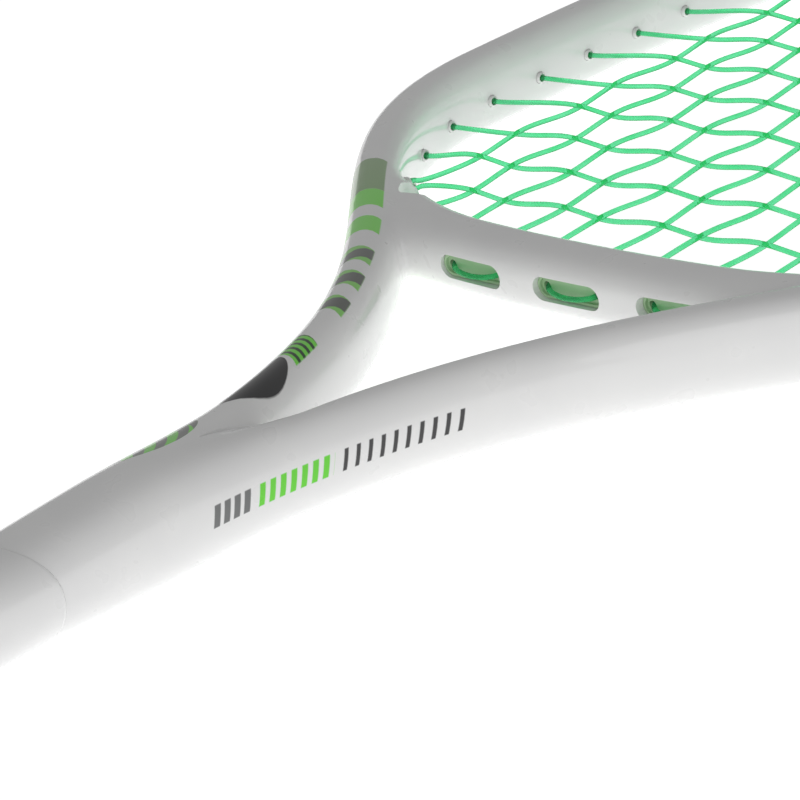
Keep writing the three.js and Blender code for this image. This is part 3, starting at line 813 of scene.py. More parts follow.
def lipped_barrel(start, end):
    """A grommet barrel with a rounded lip at its start."""
    start, end = np.asarray(start, float), np.asarray(end, float)
    along = (end - start) / np.linalg.norm(end - start)
    profile = ((0.0, 0.98), (0.12, 1.16), (0.4, BARREL_RADIUS), (0.9, BARREL_RADIUS), (None, BARREL_RADIUS))
    side = np.cross(along, (0, 0, 1))
    side /= np.linalg.norm(side)
    angle = np.arange(20) / 20 * 2 * math.pi
    round_section = np.cos(angle)[:, None] * side + np.sin(angle)[:, None] * np.cross(along, side)
    rings = []
    for distance, radius in profile:
        centre = end if distance is None else start + along * distance
        rings.append(centre + radius * round_section)
    mesh = mesh_from("barrel", np.concatenate(rings), ring_faces(len(rings), 20))
    return outward_faces(new_object("barrel", mesh))


def with_bores(piece, bores):
    carve(piece, bores)
    return smooth(piece, 40)


def grommet_strip(name, side):
    half = STRIP_WIDTH / 2
    low, high = CHANNEL_FLOOR + 0.1, CHANNEL_FLOOR + 0.1 + STRIP_THICKNESS
    upper = ((high, half - 0.25), (high - 0.2, half), (low, half))
    lower = ((low, -half), (high - 0.2, -half), (high, -half + 0.25))
    outline = np.array(lower + upper)
    path = side_path(side, channel_start_s() + 2, SIDE_LENGTH, 160)
    path[-1, 0] = side * 0.15
    strip = level_sweep(name, path, outline, side)
    ends = ends_on(side)
    proud = TUBE_WIDTH / 2 + BARREL_PROUD
    barrels = [lipped_barrel(end["at"](-proud), end["at"](high - 0.2)) for end in ends]
    fuse_tools([strip, *barrels])
    bores = [rod("bore", end["at"](-proud - 2), end["at"](high + 2), BARREL_BORE, 16) for end in ends]
    return with_bores(strip, bores)


def bridge_tray(name, pair):
    """An oval tray with a raised rim at the back of a slot, and a barrel for each string."""
    x = (main_x(pair[0]) + main_x(pair[1])) / 2
    floor = face_y(x) + SLOT_DEPTH
    tray = slot_tool(x, SLOT_LENGTH - 0.2, SLOT_HEIGHT - 0.2, floor - 1.2, floor)
    tray.name = name
    far = face_y(x) + BRIDGE_DEPTH + 0.8
    points = [(np.array((main_x(i), far, MID_Z)), np.array((main_x(i), floor - 0.4, MID_Z))) for i in pair]
    barrels = [lipped_barrel(start, end) for start, end in points]
    hollow = slot_tool(x, SLOT_LENGTH - 1.3, SLOT_HEIGHT - 1.3, floor - 3, floor - 0.6)
    carve(tray, [hollow])
    fuse_tools([tray, *barrels])
    bores = [rod("bore", start + (0, 3, 0), end - (0, 4, 0), BARREL_BORE, 16) for start, end in points]
    return with_bores(tray, bores)


def corner_eyelet(name, i):
    x = main_x(i)
    far = np.array((x, back_y(x) + 0.9, MID_Z))
    near = far - (0, 4.5, 0)
    eyelet = lipped_barrel(far, near)
    eyelet.name = name
    return with_bores(eyelet, [rod("bore", far + (0, 2, 0), near - (0, 2, 0), BARREL_BORE, 16)])


def bumper_guard(name):
    """A ribbed guard over the tip that thins away at its two ends."""
    start = meet(1, BUMPER_START_Y + 1, TUBE_WIDTH / 2, WIDEST_S, SIDE_LENGTH)
    count = 150
    right = side_path(1, start, SIDE_LENGTH, count)
    left = side_path(-1, start, SIDE_LENGTH, count)[::-1]
    path = np.concatenate((right, left[1:]))
    half = TUBE_HEIGHT / 2 * 0.8
    foot = TUBE_WIDTH / 2 - 0.6
    up = np.linspace(-1, 1, 33)
    crown = (1 - np.abs(up) ** 3.2) ** 0.55
    groove = 0.5 * (np.exp(-(((np.abs(up) - 0.36) / 0.07) ** 2)))
    outer = np.column_stack((foot + 0.6 + BUMPER_PROUD * crown - groove * crown, up * half))
    outline = np.concatenate(((((foot, -half * 0.98),)), outer[1:-1], ((foot, half * 0.98),)))
    piece = level_sweep(name, path, outline, 1)
    points = points_of(piece).reshape(len(path), len(outline), 3)
    from_end = np.concatenate((np.linspace(0, 1, count), np.linspace(1, 0, count)[1:]))
    distance = from_end * (SIDE_LENGTH - start)
    centre = path[:, None, :]
    taper = smoothstep(distance, -3, 16)[:, None, None]
    normal = points[:, 16, :] - path
    normal /= np.linalg.norm(normal, axis=1)[:, None]
    offset = points - centre
    outward = (offset * normal[:, None, :]).sum(axis=2, keepdims=True)
    notch = 0.28 * (np.cos(distance / 7 * 2 * math.pi) > 0.86)[:, None, None] * (distance > 18)[:, None, None]
    excess = np.maximum(outward - foot, 0)
    points -= normal[:, None, :] * excess * (1 - taper)
    points -= normal[:, None, :] * notch * (excess > BUMPER_PROUD * 0.8)
    move_points(piece, points.reshape(-1, 3))
    return smooth(piece, 35)


# ---- shaft sleeve and handle

PALLET_CHAMFER = 6.4
WRAP_PITCH = 21.0
WRAP_COLUMNS = 96


def ring_of_radius(outline, y, lift=0.0):
    """A closed outline (across, up) standing at y, moved outward from the axis."""
    radius = np.linalg.norm(outline, axis=1)[:, None]
    grown = outline * (1 + lift / radius)
    return np.column_stack((grown[:, 0], np.full(len(grown), y), MID_Z + grown[:, 1]))


def sleeve_shell(name):
    """A thin collar round the shaft whose front edge is a rounded tongue on each face."""
    columns = 96
    outline = oval(2 * SHAFT_HIGH[0], SHAFT_HIGH[2] - SHAFT_LOW[2], columns, SHAFT_EXPONENT)
    around = np.arctan2(outline[:, 1], outline[:, 0])
    tongue = SLEEVE_HIGH[1] - 1.8 - 4.5 * np.sin(around) ** 2
    wall = (SLEEVE_HIGH[0] - SLEEVE_LOW[0]) / 2 - SHAFT_HIGH[0]
    rings = []
    profile = ((0.0, 0.1), (0.0, wall), (0.96, wall), (0.985, wall * 0.8), (1.0, wall * 0.45), (1.0, 0.05))
    for share, lift in profile:
        ring = ring_of_radius(outline, 0, lift)
        ring[:, 1] = SLEEVE_LOW[1] + share * (tongue - SLEEVE_LOW[1])
        rings.append(ring)
    faces = ring_faces(len(rings), columns, closed_along=True)
    piece = new_object(name, mesh_from(name, np.concatenate(rings), faces))
    return smooth(outward_faces(piece), 50)


def rounded_octagon(width, height, chamfer, columns, softness=1.6):
    """An octagon with soft corners: the cut of eight flats, evened out round the axis."""
    angle = (np.arange(columns) + 0.5) / columns * 2 * math.pi
    direction = np.stack((np.cos(angle), np.sin(angle)), axis=1)
    diagonal = (width / 2 + height / 2 - chamfer) / math.sqrt(2)
    flats = [((1, 0), width / 2), ((0, 1), height / 2)]
    flats += [((0.7071, 0.7071), diagonal), ((0.7071, -0.7071), diagonal)]
    reach = np.stack([distance / np.maximum(np.abs(direction @ np.array(n)), 1e-6) for n, distance in flats])
    radius = -softness * np.log(np.exp(-reach / softness).sum(axis=0)) + softness * 0.35
    return direction * np.minimum(radius, reach.min(axis=0))[:, None]


def grip_spiral(name):
    """Cushion tape wound up the handle, each turn lapping over the one before."""
    length = GRIP_HIGH[1] - GRIP_LOW[1]
    base = rounded_octagon(
        GRIP_HIGH[0] - GRIP_LOW[0], GRIP_HIGH[2] - GRIP_LOW[2], PALLET_CHAMFER + 1.2, WRAP_COLUMNS
    )
    turns = math.ceil(length / WRAP_PITCH) + 2
    tucked_edge = ((0.0, -0.95), (0.03, -0.55), (0.09, -0.42))
    flat_part = ((0.2, -0.38), (0.35, -0.36), (0.5, -0.33), (0.65, -0.3), (0.8, -0.24))
    lapping_edge = ((0.88, -0.12), (0.93, 0.05), (0.965, 0.08), (0.985, -0.02), (1.0, -0.3))
    rows = tucked_edge + flat_part + lapping_edge
    vertices = np.empty((turns * len(rows), WRAP_COLUMNS, 3))
    lap_u = np.empty((turns * len(rows), WRAP_COLUMNS))
    lap_v = np.empty_like(lap_u)
    turn_share = np.arange(WRAP_COLUMNS) / WRAP_COLUMNS
    circumference = math.pi * (GRIP_HIGH[0] - GRIP_LOW[0])
    for t in range(turns):
        for r, (share, lift) in enumerate(rows):
            y = GRIP_LOW[1] + WRAP_PITCH * (t - 1 + share + turn_share - 0.5)
            row = t * len(rows) + r
            vertices[row] = ring_of_radius(base, 0, lift)
            vertices[row, :, 1] = np.clip(y, GRIP_LOW[1], GRIP_HIGH[1])
            lap_u[row] = (t + turn_share) * circumference
            lap_v[row] = share
    faces = []
    total = turns * len(rows)
    for k in range(total - 1):
        for m in range(WRAP_COLUMNS):
            last = m == WRAP_COLUMNS - 1
            shift = len(rows) if last else 0
            n = (m + 1) % WRAP_COLUMNS
            if k + 1 + shift < total:
                faces.append(
                    (
                        k * WRAP_COLUMNS + m,
                        (k + shift) * WRAP_COLUMNS + n,
                        (k + 1 + shift) * WRAP_COLUMNS + n,
                        (k + 1) * WRAP_COLUMNS + m,
                    )
                )
    mesh = mesh_from(name, vertices.reshape(-1, 3), faces)
    piece = new_object(name, mesh)
    give_attribute(piece, "lap_u", lap_u.ravel())
    give_attribute(piece, "lap_v", lap_v.ravel())
    work = bmesh.new()
    work.from_mesh(mesh)
    bmesh.ops.dissolve_degenerate(work, dist=1e-5, edges=work.edges)
    bmesh.ops.remove_doubles(work, verts=work.verts, dist=2e-6)
    loose = [v for v in work.verts if not v.link_faces]
    bmesh.ops.delete(work, geom=loose, context="VERTS")
    bmesh.ops.recalc_face_normals(work, faces=work.faces)
    work.to_mesh(mesh)
    work.free()
    return smooth(piece, 42)


def tape_band(name):
    """Thin tape round the top of the grip, with the step of its free end."""
    columns = 96
    width, height = TAPE_HIGH[0] - TAPE_LOW[0], TAPE_HIGH[2] - TAPE_LOW[2]
    outline = rounded_octagon(width, height, PALLET_CHAMFER + 1.8, columns)
    step = np.where(np.arange(columns) < columns * 0.36, 0.28, 0.0)
    rings = []
    for share, lift in ((0.0, -1.0), (0.0, -0.12), (0.02, 0.0), (0.98, 0.0), (1.0, -0.12), (1.0, -1.0)):
        ring = ring_of_radius(outline, 0, lift)
        out = outline / np.linalg.norm(outline, axis=1)[:, None]
        amount = step if lift > -0.5 else 0 * step
        ring[:, 0] += out[:, 0] * (amount - 0.28)
        ring[:, 2] += out[:, 1] * (amount - 0.28)
        ring[:, 1] = TAPE_LOW[1] + share * (TAPE_HIGH[1] - TAPE_LOW[1])
        rings.append(ring)
    faces = ring_faces(len(rings), columns, closed_along=True)
    piece = new_object(name, mesh_from(name, np.concatenate(rings), faces))
    return smooth(outward_faces(piece), 35)


def turned(name, profile, squeeze, columns=96, closed=False):
    """A profile of (radius, y) turned round the handle's axis and squeezed to its height."""
    angle = (np.arange(columns) + 0.5) / columns * 2 * math.pi
    rings = []
    for radius, y in profile:
        x, z = radius * np.cos(angle), MID_Z + squeeze * radius * np.sin(angle)
        rings.append(np.column_stack((x, np.full(columns, y), z)))
    faces = ring_faces(len(rings), columns, closed_along=closed, caps=not closed)
    piece = new_object(name, mesh_from(name, np.concatenate(rings), faces))
    return smooth(outward_faces(piece), 40)


def collar_ribbed(name):
    """A rubber collar with rounded ribs that narrow towards the shaft."""
    start, end = COLLAR_LOW[1], COLLAR_HIGH[1]
    squeeze = (COLLAR_HIGH[2] - COLLAR_LOW[2]) / (COLLAR_HIGH[0] - COLLAR_LOW[0])
    bore = SHAFT_HIGH[0] + 0.9
    big = COLLAR_HIGH[0] - 0.25
    profile = [(bore, start), (big - 0.5, start), (big, start + 0.6)]
    ribs = 3
    share = np.linspace(0.04, 0.97, 46)
    for t in share:
        ease = t * t * (3 - 2 * t)
        radius = big - (big - 11.2) * ease
        ripple = 0.32 * math.cos(2 * math.pi * ribs * min(t, 0.8) / 0.8) if t < 0.8 else 0.32
        profile.append((radius + ripple - 0.32, start + 0.6 + t * (end - start - 0.6)))
    profile += [(profile[-1][0] - 0.5, end), (bore, end)]
    return turned(name, profile, squeeze, closed=True)


def cap_flared(name):
    """The butt cap: a flared, rounded end with fine ribs round its skirt and a recess for the plug."""
    low, high = CAP_LOW[1], CAP_HIGH[1]
    radius = CAP_HIGH[0]
    squeeze = (CAP_HIGH[2] - CAP_LOW[2]) / (CAP_HIGH[0] - CAP_LOW[0])
    plug = PLUG_HIGH[0] + 0.3
    profile = [(0.01, low + 2.0), (plug, low + 2.0), (plug, low + 0.35), (plug + 0.35, low)]
    corner = 2.4
    profile.append((radius - corner - 0.4, low))
    for t in np.linspace(0.15, 1, 7):
        turn = t * math.pi / 2
        profile.append((radius - corner + corner * math.sin(turn), low + corner - corner * math.cos(turn)))
    for t in np.linspace(0.08, 1, 16):
        ripple = 0.22 * (math.cos(t * 2 * math.pi * 4) - 1) if t > 0.3 else 0
        profile.append((radius - 1.9 * t**1.4 + ripple * 0.8, low + corner + t * (high - low - corner - 0.5)))
    skirt = profile[-1][0]
    profile += [(skirt - 0.5, high), (skirt - 3.0, high), (0.01, high - 0.4)]
    return turned(name, profile, squeeze)


def plug_disc(name):
    """A moulded plug whose face carries plain raised rings."""
    low, high = PLUG_LOW[1], PLUG_HIGH[1]
    radius = PLUG_HIGH[0]
    profile = [(0.01, high), (radius - 0.1, high), (radius, high - 0.3), (radius - 0.15, low + 0.1)]
    for share in np.linspace(0.97, 0.04, 40):
        raised = 0.16 * (0.5 + 0.5 * math.cos(share * radius * 2.4))
        profile.append((share * radius, low + 0.25 - raised))
    profile.append((0.01, low + 0.1))
    return turned(name, profile, 1.0)


# ---- material nodes, written as arithmetic

class Formula:
    """A number worked out by shader nodes."""

    def __init__(self, tree, socket):
        self.tree = tree
        self.socket = socket

    def node(self, operation, *others, clamp=False):
        made = self.tree.nodes.new("ShaderNodeMath")
        made.operation = operation
        made.use_clamp = clamp
        for place, value in enumerate((self, *others)):
            if isinstance(value, Formula):
                self.tree.links.new(value.socket, made.inputs[place])
            else:
                made.inputs[place].default_value = value
        return Formula(self.tree, made.outputs[0])

    def __add__(self, other):
        return self.node("ADD", other)

    def __sub__(self, other):
        return self.node("SUBTRACT", other)

    def __mul__(self, other):
        return self.node("MULTIPLY", other)

    def __truediv__(self, other):
        return self.node("DIVIDE", other)

    def squared(self):
        return self * self

    def power(self, exponent):
        return self.node("POWER", exponent)

    def size(self):
        return self.node("ABSOLUTE")

    def sign(self):
        return self.node("SIGN")

    def sine(self):
        return self.node("SINE")

    def clamped(self):
        return self.node("ADD", 0.0, clamp=True)

    def most(self, other):
        return self.node("MAXIMUM", other)

    def wrapped(self, period):
        """How far the value is from the nearest whole number of periods."""
        return self.node("PINGPONG", period / 2)

    def inverted(self):
        return self * -1.0 + 1.0

    def above(self, level, soft):
        return ((self - level) / soft + 0.5).clamped()

    def below(self, level, soft):
        return self.above(level, soft).inverted()

    def between(self, low, high, soft):
        return self.above(low, soft) * self.below(high, soft)


class Finish:
    """A material with one Principled shader, and the few helpers the finishes share."""

    def __init__(self, name, **sockets):
        self.material = bpy.data.materials.new(name)
        self.material.use_nodes = True
        self.tree = self.material.node_tree
        self.tree.nodes.clear()
        self.shader = self.tree.nodes.new("ShaderNodeBsdfPrincipled")
        output = self.tree.nodes.new("ShaderNodeOutputMaterial")
        self.tree.links.new(self.shader.outputs[0], output.inputs[0])
        for socket, value in sockets.items():
            self.shader.inputs[socket.replace("_", " ")].default_value = value
        coordinates = self.tree.nodes.new("ShaderNodeTexCoord")
        self.place = coordinates.outputs["Object"]

    def axes(self):
        """The surface point's x, y and height over the middle plane, in millimetres."""
        apart = self.tree.nodes.new("ShaderNodeSeparateXYZ")
        self.tree.links.new(self.place, apart.inputs[0])
        x, y, z = (Formula(self.tree, apart.outputs[k]) / MM for k in range(3))
        return x, y, z - float(MID_Z)

    def attribute(self, name):
        node = self.tree.nodes.new("ShaderNodeAttribute")
        node.attribute_name = name
        return Formula(self.tree, node.outputs["Fac"])

    def noise(self, size_mm, detail=2.0, stretch=(1, 1, 1)):
        mapping = self.tree.nodes.new("ShaderNodeMapping")
        mapping.inputs["Scale"].default_value = [s / (size_mm * MM) for s in stretch]
        self.tree.links.new(self.place, mapping.inputs[0])
        node = self.tree.nodes.new("ShaderNodeTexNoise")
        node.inputs["Scale"].default_value = 1.0
        node.inputs["Detail"].default_value = detail
        self.tree.links.new(mapping.outputs[0], node.inputs["Vector"])
        return Formula(self.tree, node.outputs["Fac"])

    def cells(self, size_mm):
        mapping = self.tree.nodes.new("ShaderNodeMapping")
        mapping.inputs["Scale"].default_value = [1 / (size_mm * MM)] * 3
        self.tree.links.new(self.place, mapping.inputs[0])
        node = self.tree.nodes.new("ShaderNodeTexVoronoi")
        node.inputs["Scale"].default_value = 1.0
        self.tree.links.new(mapping.outputs[0], node.inputs["Vector"])
        return Formula(self.tree, node.outputs["Distance"])

    def mix(self, mask, first, second):
        """The first colour where the mask is 0 and the second where it is 1."""
        node = self.tree.nodes.new("ShaderNodeMix")
        node.data_type = "RGBA"
        self.tree.links.new(mask.socket, node.inputs["Factor"])
        for socket, colour in ((node.inputs["A"], first), (node.inputs["B"], second)):
            if isinstance(colour, tuple):
                socket.default_value = colour
            else:
                self.tree.links.new(colour, socket)
        return node.outputs["Result"]

    def colour(self, socket):
        self.tree.links.new(socket, self.shader.inputs["Base Color"])

    def roughness(self, formula):
        self.tree.links.new(formula.socket, self.shader.inputs["Roughness"])

    def bump(self, height, depth_mm, strength=1.0):
        node = self.tree.nodes.new("ShaderNodeBump")
        node.inputs["Strength"].default_value = strength
        node.inputs["Distance"].default_value = depth_mm * MM
        self.tree.links.new(height.socket, node.inputs["Height"])
        self.tree.links.new(node.outputs[0], self.shader.inputs["Normal"])


def srgb(red, green, blue):
    """A colour given as the eye sees it, 0 to 255, in the shader's linear numbers."""
    linear = [((c / 255 + 0.055) / 1.055) ** 2.4 if c > 10 else c / 255 / 12.92 for c in (red, green, blue)]
    return (*linear, 1.0)


LACQUER = srgb(243, 243, 242)
LACQUER_SHADE = srgb(236, 236, 236)
DECAL_GREEN = srgb(122, 232, 70)
DECAL_BRIGHT = srgb(96, 220, 10)
DECAL_GREY = srgb(104, 106, 106)
DECAL_STONE = srgb(128, 130, 126)
DECAL_DARK_GREY = srgb(92, 96, 90)
DECAL_MUTED = srgb(132, 170, 112)
DECAL_LEAF = srgb(134, 214, 96)
DECAL_FOREST = srgb(22, 62, 18)
DECAL_BLACK = srgb(34, 34, 36)
DECAL_SOFT = 0.22

DECAL_INNER_EDGE = -2.9
DECAL_OUTER_EDGE = 4.7
BAND_ARCH = 0.14
BAND_CENTRE = 0.8
FACE_HEIGHT = 4.4


def side_at(y):
    """Distance along the side's curve where its middle line reaches y."""
    return float(meet(1, y, 0, 0, WIDEST_S))


def pointed_drop(along, across, tail, head, width):
    """A drop with a point at its tail and a round head: its mask."""
    share = ((along - tail) / (head - tail)).clamped()
    profile = share * (share.inverted().power(0.5)) * (2.6 * width / 2)
    return (profile - across.size()).above(0.0, DECAL_SOFT) * along.between(tail, head, 0.05)


def paint_decals(finish, colour):
    """The band graphics on one arm of each face, and the dashes on the outer sides."""
    x, y, z = finish.axes()
    side = x.sign()
    across = finish.attribute("across")
    arched = finish.attribute("along") + (across - BAND_CENTRE).squared() * BAND_ARCH
    left_arm = x.below(0.0, 0.3)
    top = z.size().above(FACE_HEIGHT, 0.25) * left_arm
    face = top * across.between(DECAL_INNER_EDGE, DECAL_OUTER_EDGE, DECAL_SOFT)
    slanted = arched + across * 0.5

    def band(low_y, high_y, shade, within=None):
        nonlocal colour
        mask = arched.between(side_at(low_y), side_at(high_y), DECAL_SOFT) * face
        if within is not None:
            mask = mask * within
        colour = finish.mix(mask, colour, shade)

    band(70.0, 83.0, DECAL_MUTED)
    band(63.9, 70.0, DECAL_GREEN)
    band(53.9, 59.6, DECAL_GREEN)
    for low in (42.3, 32.9, 23.1):
        band(low, low + 5.4, DECAL_LEAF)
        middle = side_at(low + 2.7)
        band(low, low + 5.4, DECAL_DARK_GREY, within=slanted.between(middle - 2.3, middle + 1.9, DECAL_SOFT))
    band(4.6, 12.6, DECAL_GREEN)
    stripes = (arched + across * 0.12).wrapped(1.9).above(0.52, 0.16)
    band(4.6, 12.6, DECAL_FOREST, within=stripes)

    drop = pointed_drop(arched, across - 0.8, side_at(-15.6), side_at(3.8), 9.4) * top
    colour = finish.mix(drop, colour, DECAL_BLACK)
    low, high = side_at(-45), side_at(-22.5)
    low_drop = pointed_drop(arched, across - 1.0, low, high, 9.4) * z.size().above(1.2, 0.25) * left_arm
    bars = (arched - across * 0.4).wrapped(5.4).above(1.35, 0.2)
    end = arched.above(high - 2.4, DECAL_SOFT)
    colour = finish.mix(low_drop, colour, DECAL_GREEN)
    colour = finish.mix(low_drop * bars.most(end), colour, DECAL_STONE)

    outer = across.above(2.0, 0.3)
    height = z * side
    slant = y - height * 0.3

    def dashes(low_y, high_y, pitch, filled, shade):
        nonlocal colour
        letters = ((slant - low_y).wrapped(pitch)).above((1 - filled) * pitch / 2, 0.18)
        mask = letters * slant.between(low_y, high_y, 0.15) * height.between(-1.8, 2.0, 0.2) * outer
        colour = finish.mix(mask, colour, shade)

    dashes(-36.5, -28.1, 2.1, 0.62, DECAL_GREY)
    dashes(-27.1, -11.9, 2.1, 0.55, DECAL_BRIGHT)
    dashes(-10.9, 12.4, 2.28, 0.34, DECAL_BLACK)
    return colour


def frame_paint(name, decals=False):
    """White lacquer under a clear coat, with faint clouding and a fine ripple."""
    finish = Finish(name, Coat_Weight=0.7, Coat_Roughness=0.06, Coat_IOR=1.5)
    clouds = finish.noise(24, 3)
    colour = finish.mix(clouds.above(0.5, 0.5), LACQUER, LACQUER_SHADE)
    if decals:
        colour = paint_decals(finish, colour)
    finish.colour(colour)
    finish.roughness(finish.noise(6, 2) * 0.10 + 0.24)
    finish.bump(finish.noise(2.2, 1), 0.006, 0.25)
    return finish.material


def string_gut(name):
    """Translucent green string with fine twisted ridges."""
    finish = Finish(name, IOR=1.15, Transmission_Weight=0.8)
    finish.colour(finish.mix(finish.noise(5, 2).above(0.5, 0.5), srgb(122, 244, 182), srgb(92, 236, 158)))
    finish.roughness(finish.noise(1.2, 2) * 0.15 + 0.14)
    x, y, z = finish.axes()
    twist = ((x + y) * 7.0 + z * 5.0).sine()
    finish.bump(twist, 0.03, 0.5)
    return finish.material


def grommet_nylon(name, pale, shade):
    finish = Finish(name, Subsurface_Weight=0.12, Subsurface_Radius=(0.0015, 0.0015, 0.0015))
    finish.colour(finish.mix(finish.noise(9, 3), pale, shade))
    finish.roughness(finish.noise(2, 2) * 0.15 + 0.36)
    finish.bump(finish.noise(0.7, 3), 0.03, 0.4)
    return finish.material


def bumper_plastic(name):
    """Moulded grey guard with a fine grain and pale scuffs over its crown."""
    finish = Finish(name)
    scuffs = finish.noise(9, 5, (1, 1, 3)).above(0.60, 0.08) * finish.noise(1.1, 3).above(0.52, 0.2)
    base = finish.mix(finish.noise(14, 3), srgb(74, 76, 76), srgb(90, 92, 92))
    finish.colour(finish.mix(scuffs * 0.5, base, srgb(160, 160, 158)))
    finish.roughness(finish.noise(3, 3) * 0.2 + 0.42)
    finish.bump(finish.noise(0.45, 3), 0.05, 0.6)
    return finish.material


def black_rubber(name):
    finish = Finish(name)
    finish.colour(finish.mix(finish.noise(11, 4), srgb(30, 30, 31), srgb(46, 46, 47)))
    finish.roughness(finish.noise(2.4, 3) * 0.22 + 0.55)
    finish.bump(finish.noise(0.5, 4), 0.05, 0.7)
    return finish.material


PERFORATION_PITCH = 3.1
PERFORATION_RADIUS = 0.42


def grip_cushion(name):
    """Black cushion tape: perforated in rows over most of its width, with a soft pebbled skin."""
    finish = Finish(name, Sheen_Weight=0.25, Sheen_Roughness=0.5)
    u = finish.attribute("lap_u")
    v = finish.attribute("lap_v") * WRAP_PITCH
    hole_u = u.wrapped(PERFORATION_PITCH)
    hole_v = v.wrapped(PERFORATION_PITCH)
    distance = (hole_u.squared() + hole_v.squared()).power(0.5)
    hole = distance.below(PERFORATION_RADIUS, 0.18) * v.between(2.2, WRAP_PITCH * 0.86, 0.2)
    worn = finish.noise(30, 4).above(0.55, 0.3)
    base = finish.mix(worn, srgb(30, 30, 32), srgb(48, 48, 50))
    # The perforations are coloured near black: painted shade inside the holes.
    finish.colour(finish.mix(hole, base, srgb(8, 8, 8)))
    finish.roughness(finish.noise(3, 3) * 0.2 + 0.56)
    pebbles = finish.cells(0.9)
    finish.bump(pebbles * 0.25 + finish.noise(0.4, 3) * 0.3 - hole * 1.5, 0.16, 0.8)
    return finish.material


def tape_vinyl(name):
    finish = Finish(name)
    finish.colour(finish.mix(finish.noise(7, 3), srgb(38, 39, 40), srgb(52, 53, 54)))
    y = finish.axes()[1]
    threads = ((y * 9.0).sine() * 0.5 + 0.5) * 0.6 + finish.noise(0.6, 3) * 0.5
    finish.roughness(finish.noise(4, 2) * 0.15 + 0.34)
    finish.bump(threads, 0.04, 0.6)
    return finish.material


def pallet_foam(name):
    finish = Finish(name)
    finish.colour(finish.mix(finish.cells(1.1), srgb(206, 190, 150), srgb(176, 158, 118)))
    finish.roughness(finish.noise(3, 2) * 0.1 + 0.85)
    finish.bump(finish.cells(0.8), 0.2, 0.8)
    return finish.material


def staple_steel(name):
    finish = Finish(name, Metallic=1.0)
    finish.colour(finish.mix(finish.noise(2, 3), srgb(176, 177, 180), srgb(150, 151, 154)))
    finish.roughness(finish.noise(0.6, 3, (1, 6, 6)) * 0.25 + 0.22)
    finish.bump(finish.noise(0.25, 2, (1, 8, 8)), 0.01, 0.5)
    return finish.material


PAINT = frame_paint("white_lacquer")
DECAL_PAINT = frame_paint("white_lacquer_with_bands", decals=True)
STRING = string_gut("green_string")
NYLON = grommet_nylon("white_nylon", srgb(240, 240, 238), srgb(226, 227, 226))
# The slot trays get a darker, green-tinted nylon colour: painted shade of the slot recess, with the green
# cast of the strings painted in.
SLOT_NYLON_PAINTED_SHADE = grommet_nylon("nylon_with_painted_slot_shade", srgb(178, 208, 168), srgb(160, 194, 152))
GUARD = bumper_plastic("grey_guard")
RUBBER = black_rubber("black_rubber")
CUSHION = grip_cushion("perforated_cushion")
VINYL = tape_vinyl("ribbed_vinyl")
FOAM = pallet_foam("pallet_foam")
STEEL = staple_steel("drawn_steel")


# ---- the pieces, each on the one body and standing for its node

def place(piece, material, slot, *nodes):
    piece.data.materials.clear()
    piece.data.materials.append(material)
    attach(piece, "root")
    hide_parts(*nodes)


place(
    frame_shell(), DECAL_PAINT, "frame_paint",
    "shaft", "yoke_arm_right", "yoke_arm_left", "head_hoop_right", "head_hoop_left", "throat_bridge",
)
place(sleeve_shell("sleeve_shell"), PAINT, "frame_paint", "shaft_sleeve")
for name, route, node in (
    ("strings_main", main_route(), "main_string"),
    ("strings_cross", cross_route(), "cross_string"),
):
    place(thread(name, curve_through(route), STRING_RADIUS), STRING, "string_green", node)
for number, end in enumerate(KNOTTED_ENDS, 1):
    place(string_knot(f"tied_knot_{number}", end), STRING, "string_green", f"string_knot_{number}")
for word, side in (("right", 1), ("left", -1)):
    place(grommet_strip(f"strip_{word}", side), NYLON, "grommet_white", f"grommet_strip_{word}")
for number, pair in enumerate(SLOT_PAIRS, 1):
    place(bridge_tray(f"slot_tray_{number}", pair), SLOT_NYLON_PAINTED_SHADE, "grommet_white", f"bridge_grommet_{number}")
for word, i in zip(("left", "right"), CORNER_MAINS):
    place(corner_eyelet(f"corner_eyelet_{word}", i), NYLON, "grommet_white", f"corner_grommet_{word}")
place(bumper_guard("bumper_guard"), GUARD, "bumper_grey", "head_bumper")
place(grip_spiral("grip_spiral"), CUSHION, "grip_black", "grip_wrap")
place(tape_band("tape_band"), VINYL, "rubber_black", "finishing_tape")
place(collar_ribbed("collar_ribbed"), RUBBER, "rubber_black", "grip_collar")
place(cap_flared("cap_flared"), RUBBER, "rubber_black", "butt_cap")
place(plug_disc("plug_disc"), GUARD, "bumper_grey", "butt_plug")


def refinish(node, material):
    """Gives a kept CAD node a better material."""
    piece = bpy.data.objects[node]
    piece.data.materials.clear()
    piece.data.materials.append(material)


refinish("handle_pallet", FOAM)
refinish("cap_staple_top", STEEL)
refinish("cap_staple_bottom", STEEL)


# ---- floor, light and camera

def floor_material():
    """Matt white paper, lit evenly from within, as a light table is."""
    finish = Finish("paper_floor", Roughness=0.9, Emission_Strength=0.80)
    tone = finish.mix(finish.noise(60, 2), srgb(215, 215, 215), srgb(208, 208, 208))
    finish.shader.inputs["Emission Color"].default_value = (1, 1, 1, 1)
    finish.colour(tone)
    finish.bump(finish.noise(2, 3), 0.02, 0.3)
    return finish.material


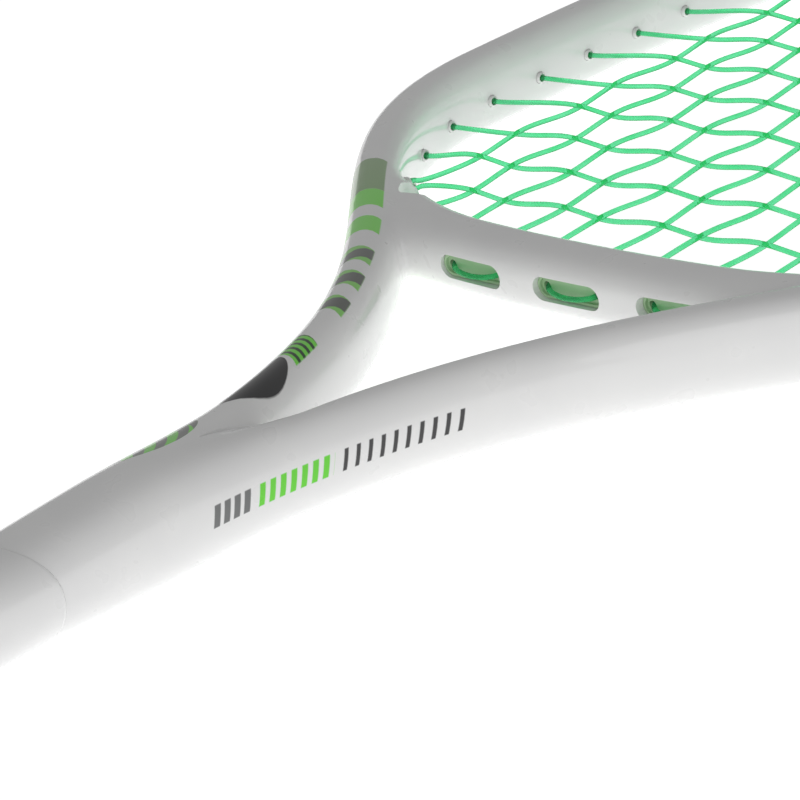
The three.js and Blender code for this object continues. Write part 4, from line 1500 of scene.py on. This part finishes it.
def paper_floor(half_width=3.0, panels=8):
    edge = np.linspace(-half_width, half_width, panels + 1) / MM
    points = [(x, y, 0.0) for y in edge for x in edge]
    faces = []
    for row in range(panels):
        for column in range(panels):
            k = row * (panels + 1) + column
            faces.append((k, k + 1, k + panels + 2, k + panels + 1))
    floor = new_object("paper_floor", mesh_from("paper_floor", points, faces))
    floor.data.materials.append(floor_material())


def area_light(name, place_mm, target_mm, size_m, power):
    lamp = bpy.data.lights.new(name, "AREA")
    lamp.shape = "DISK"
    lamp.size = size_m
    lamp.energy = power
    holder = bpy.data.objects.new(name, lamp)
    bpy.context.scene.collection.objects.link(holder)
    holder.location = Vector(place_mm) * MM
    holder.rotation_euler = (Vector(target_mm) - Vector(place_mm)).to_track_quat("-Z", "Y").to_euler()


SKY_STRENGTH = 0.36
CAMERA_PLACE = Vector((461.5, -363.8, 261.6))
CAMERA_AZIMUTH = math.radians(-50.5)
CAMERA_ELEVATION = math.radians(22.6)
CAMERA_ROLL = math.radians(-11.0)
LENS = 164.9


def studio():
    world = bpy.data.worlds.new("studio")
    world.use_nodes = True
    world.node_tree.nodes["Background"].inputs["Color"].default_value = (1, 1, 1, 1)
    world.node_tree.nodes["Background"].inputs["Strength"].default_value = SKY_STRENGTH
    bpy.context.scene.world = world
    middle = (0, 0, float(MID_Z))
    area_light("key_low", (900, -900, 380), middle, 0.9, 2.2)
    bpy.context.scene.view_settings.view_transform = "Standard"


def camera():
    forward = Vector(
        (
            math.sin(CAMERA_AZIMUTH) * math.cos(CAMERA_ELEVATION),
            math.cos(CAMERA_AZIMUTH) * math.cos(CAMERA_ELEVATION),
            -math.sin(CAMERA_ELEVATION),
        )
    )
    level = forward.cross(Vector((0, 0, 1))).normalized()
    upright = level.cross(forward)
    right = math.cos(CAMERA_ROLL) * level + math.sin(CAMERA_ROLL) * upright
    up = -math.sin(CAMERA_ROLL) * level + math.cos(CAMERA_ROLL) * upright
    lens = bpy.data.cameras.new("camera")
    lens.lens = LENS
    lens.sensor_width = 36.0
    lens.clip_start = 0.01
    holder = bpy.data.objects.new("camera", lens)
    bpy.context.scene.collection.objects.link(holder)
    turn = Matrix((right, up, -forward)).transposed().to_4x4()
    holder.matrix_world = Matrix.Translation(CAMERA_PLACE * MM) @ turn
    bpy.context.scene.camera = holder


paper_floor()
studio()
camera()
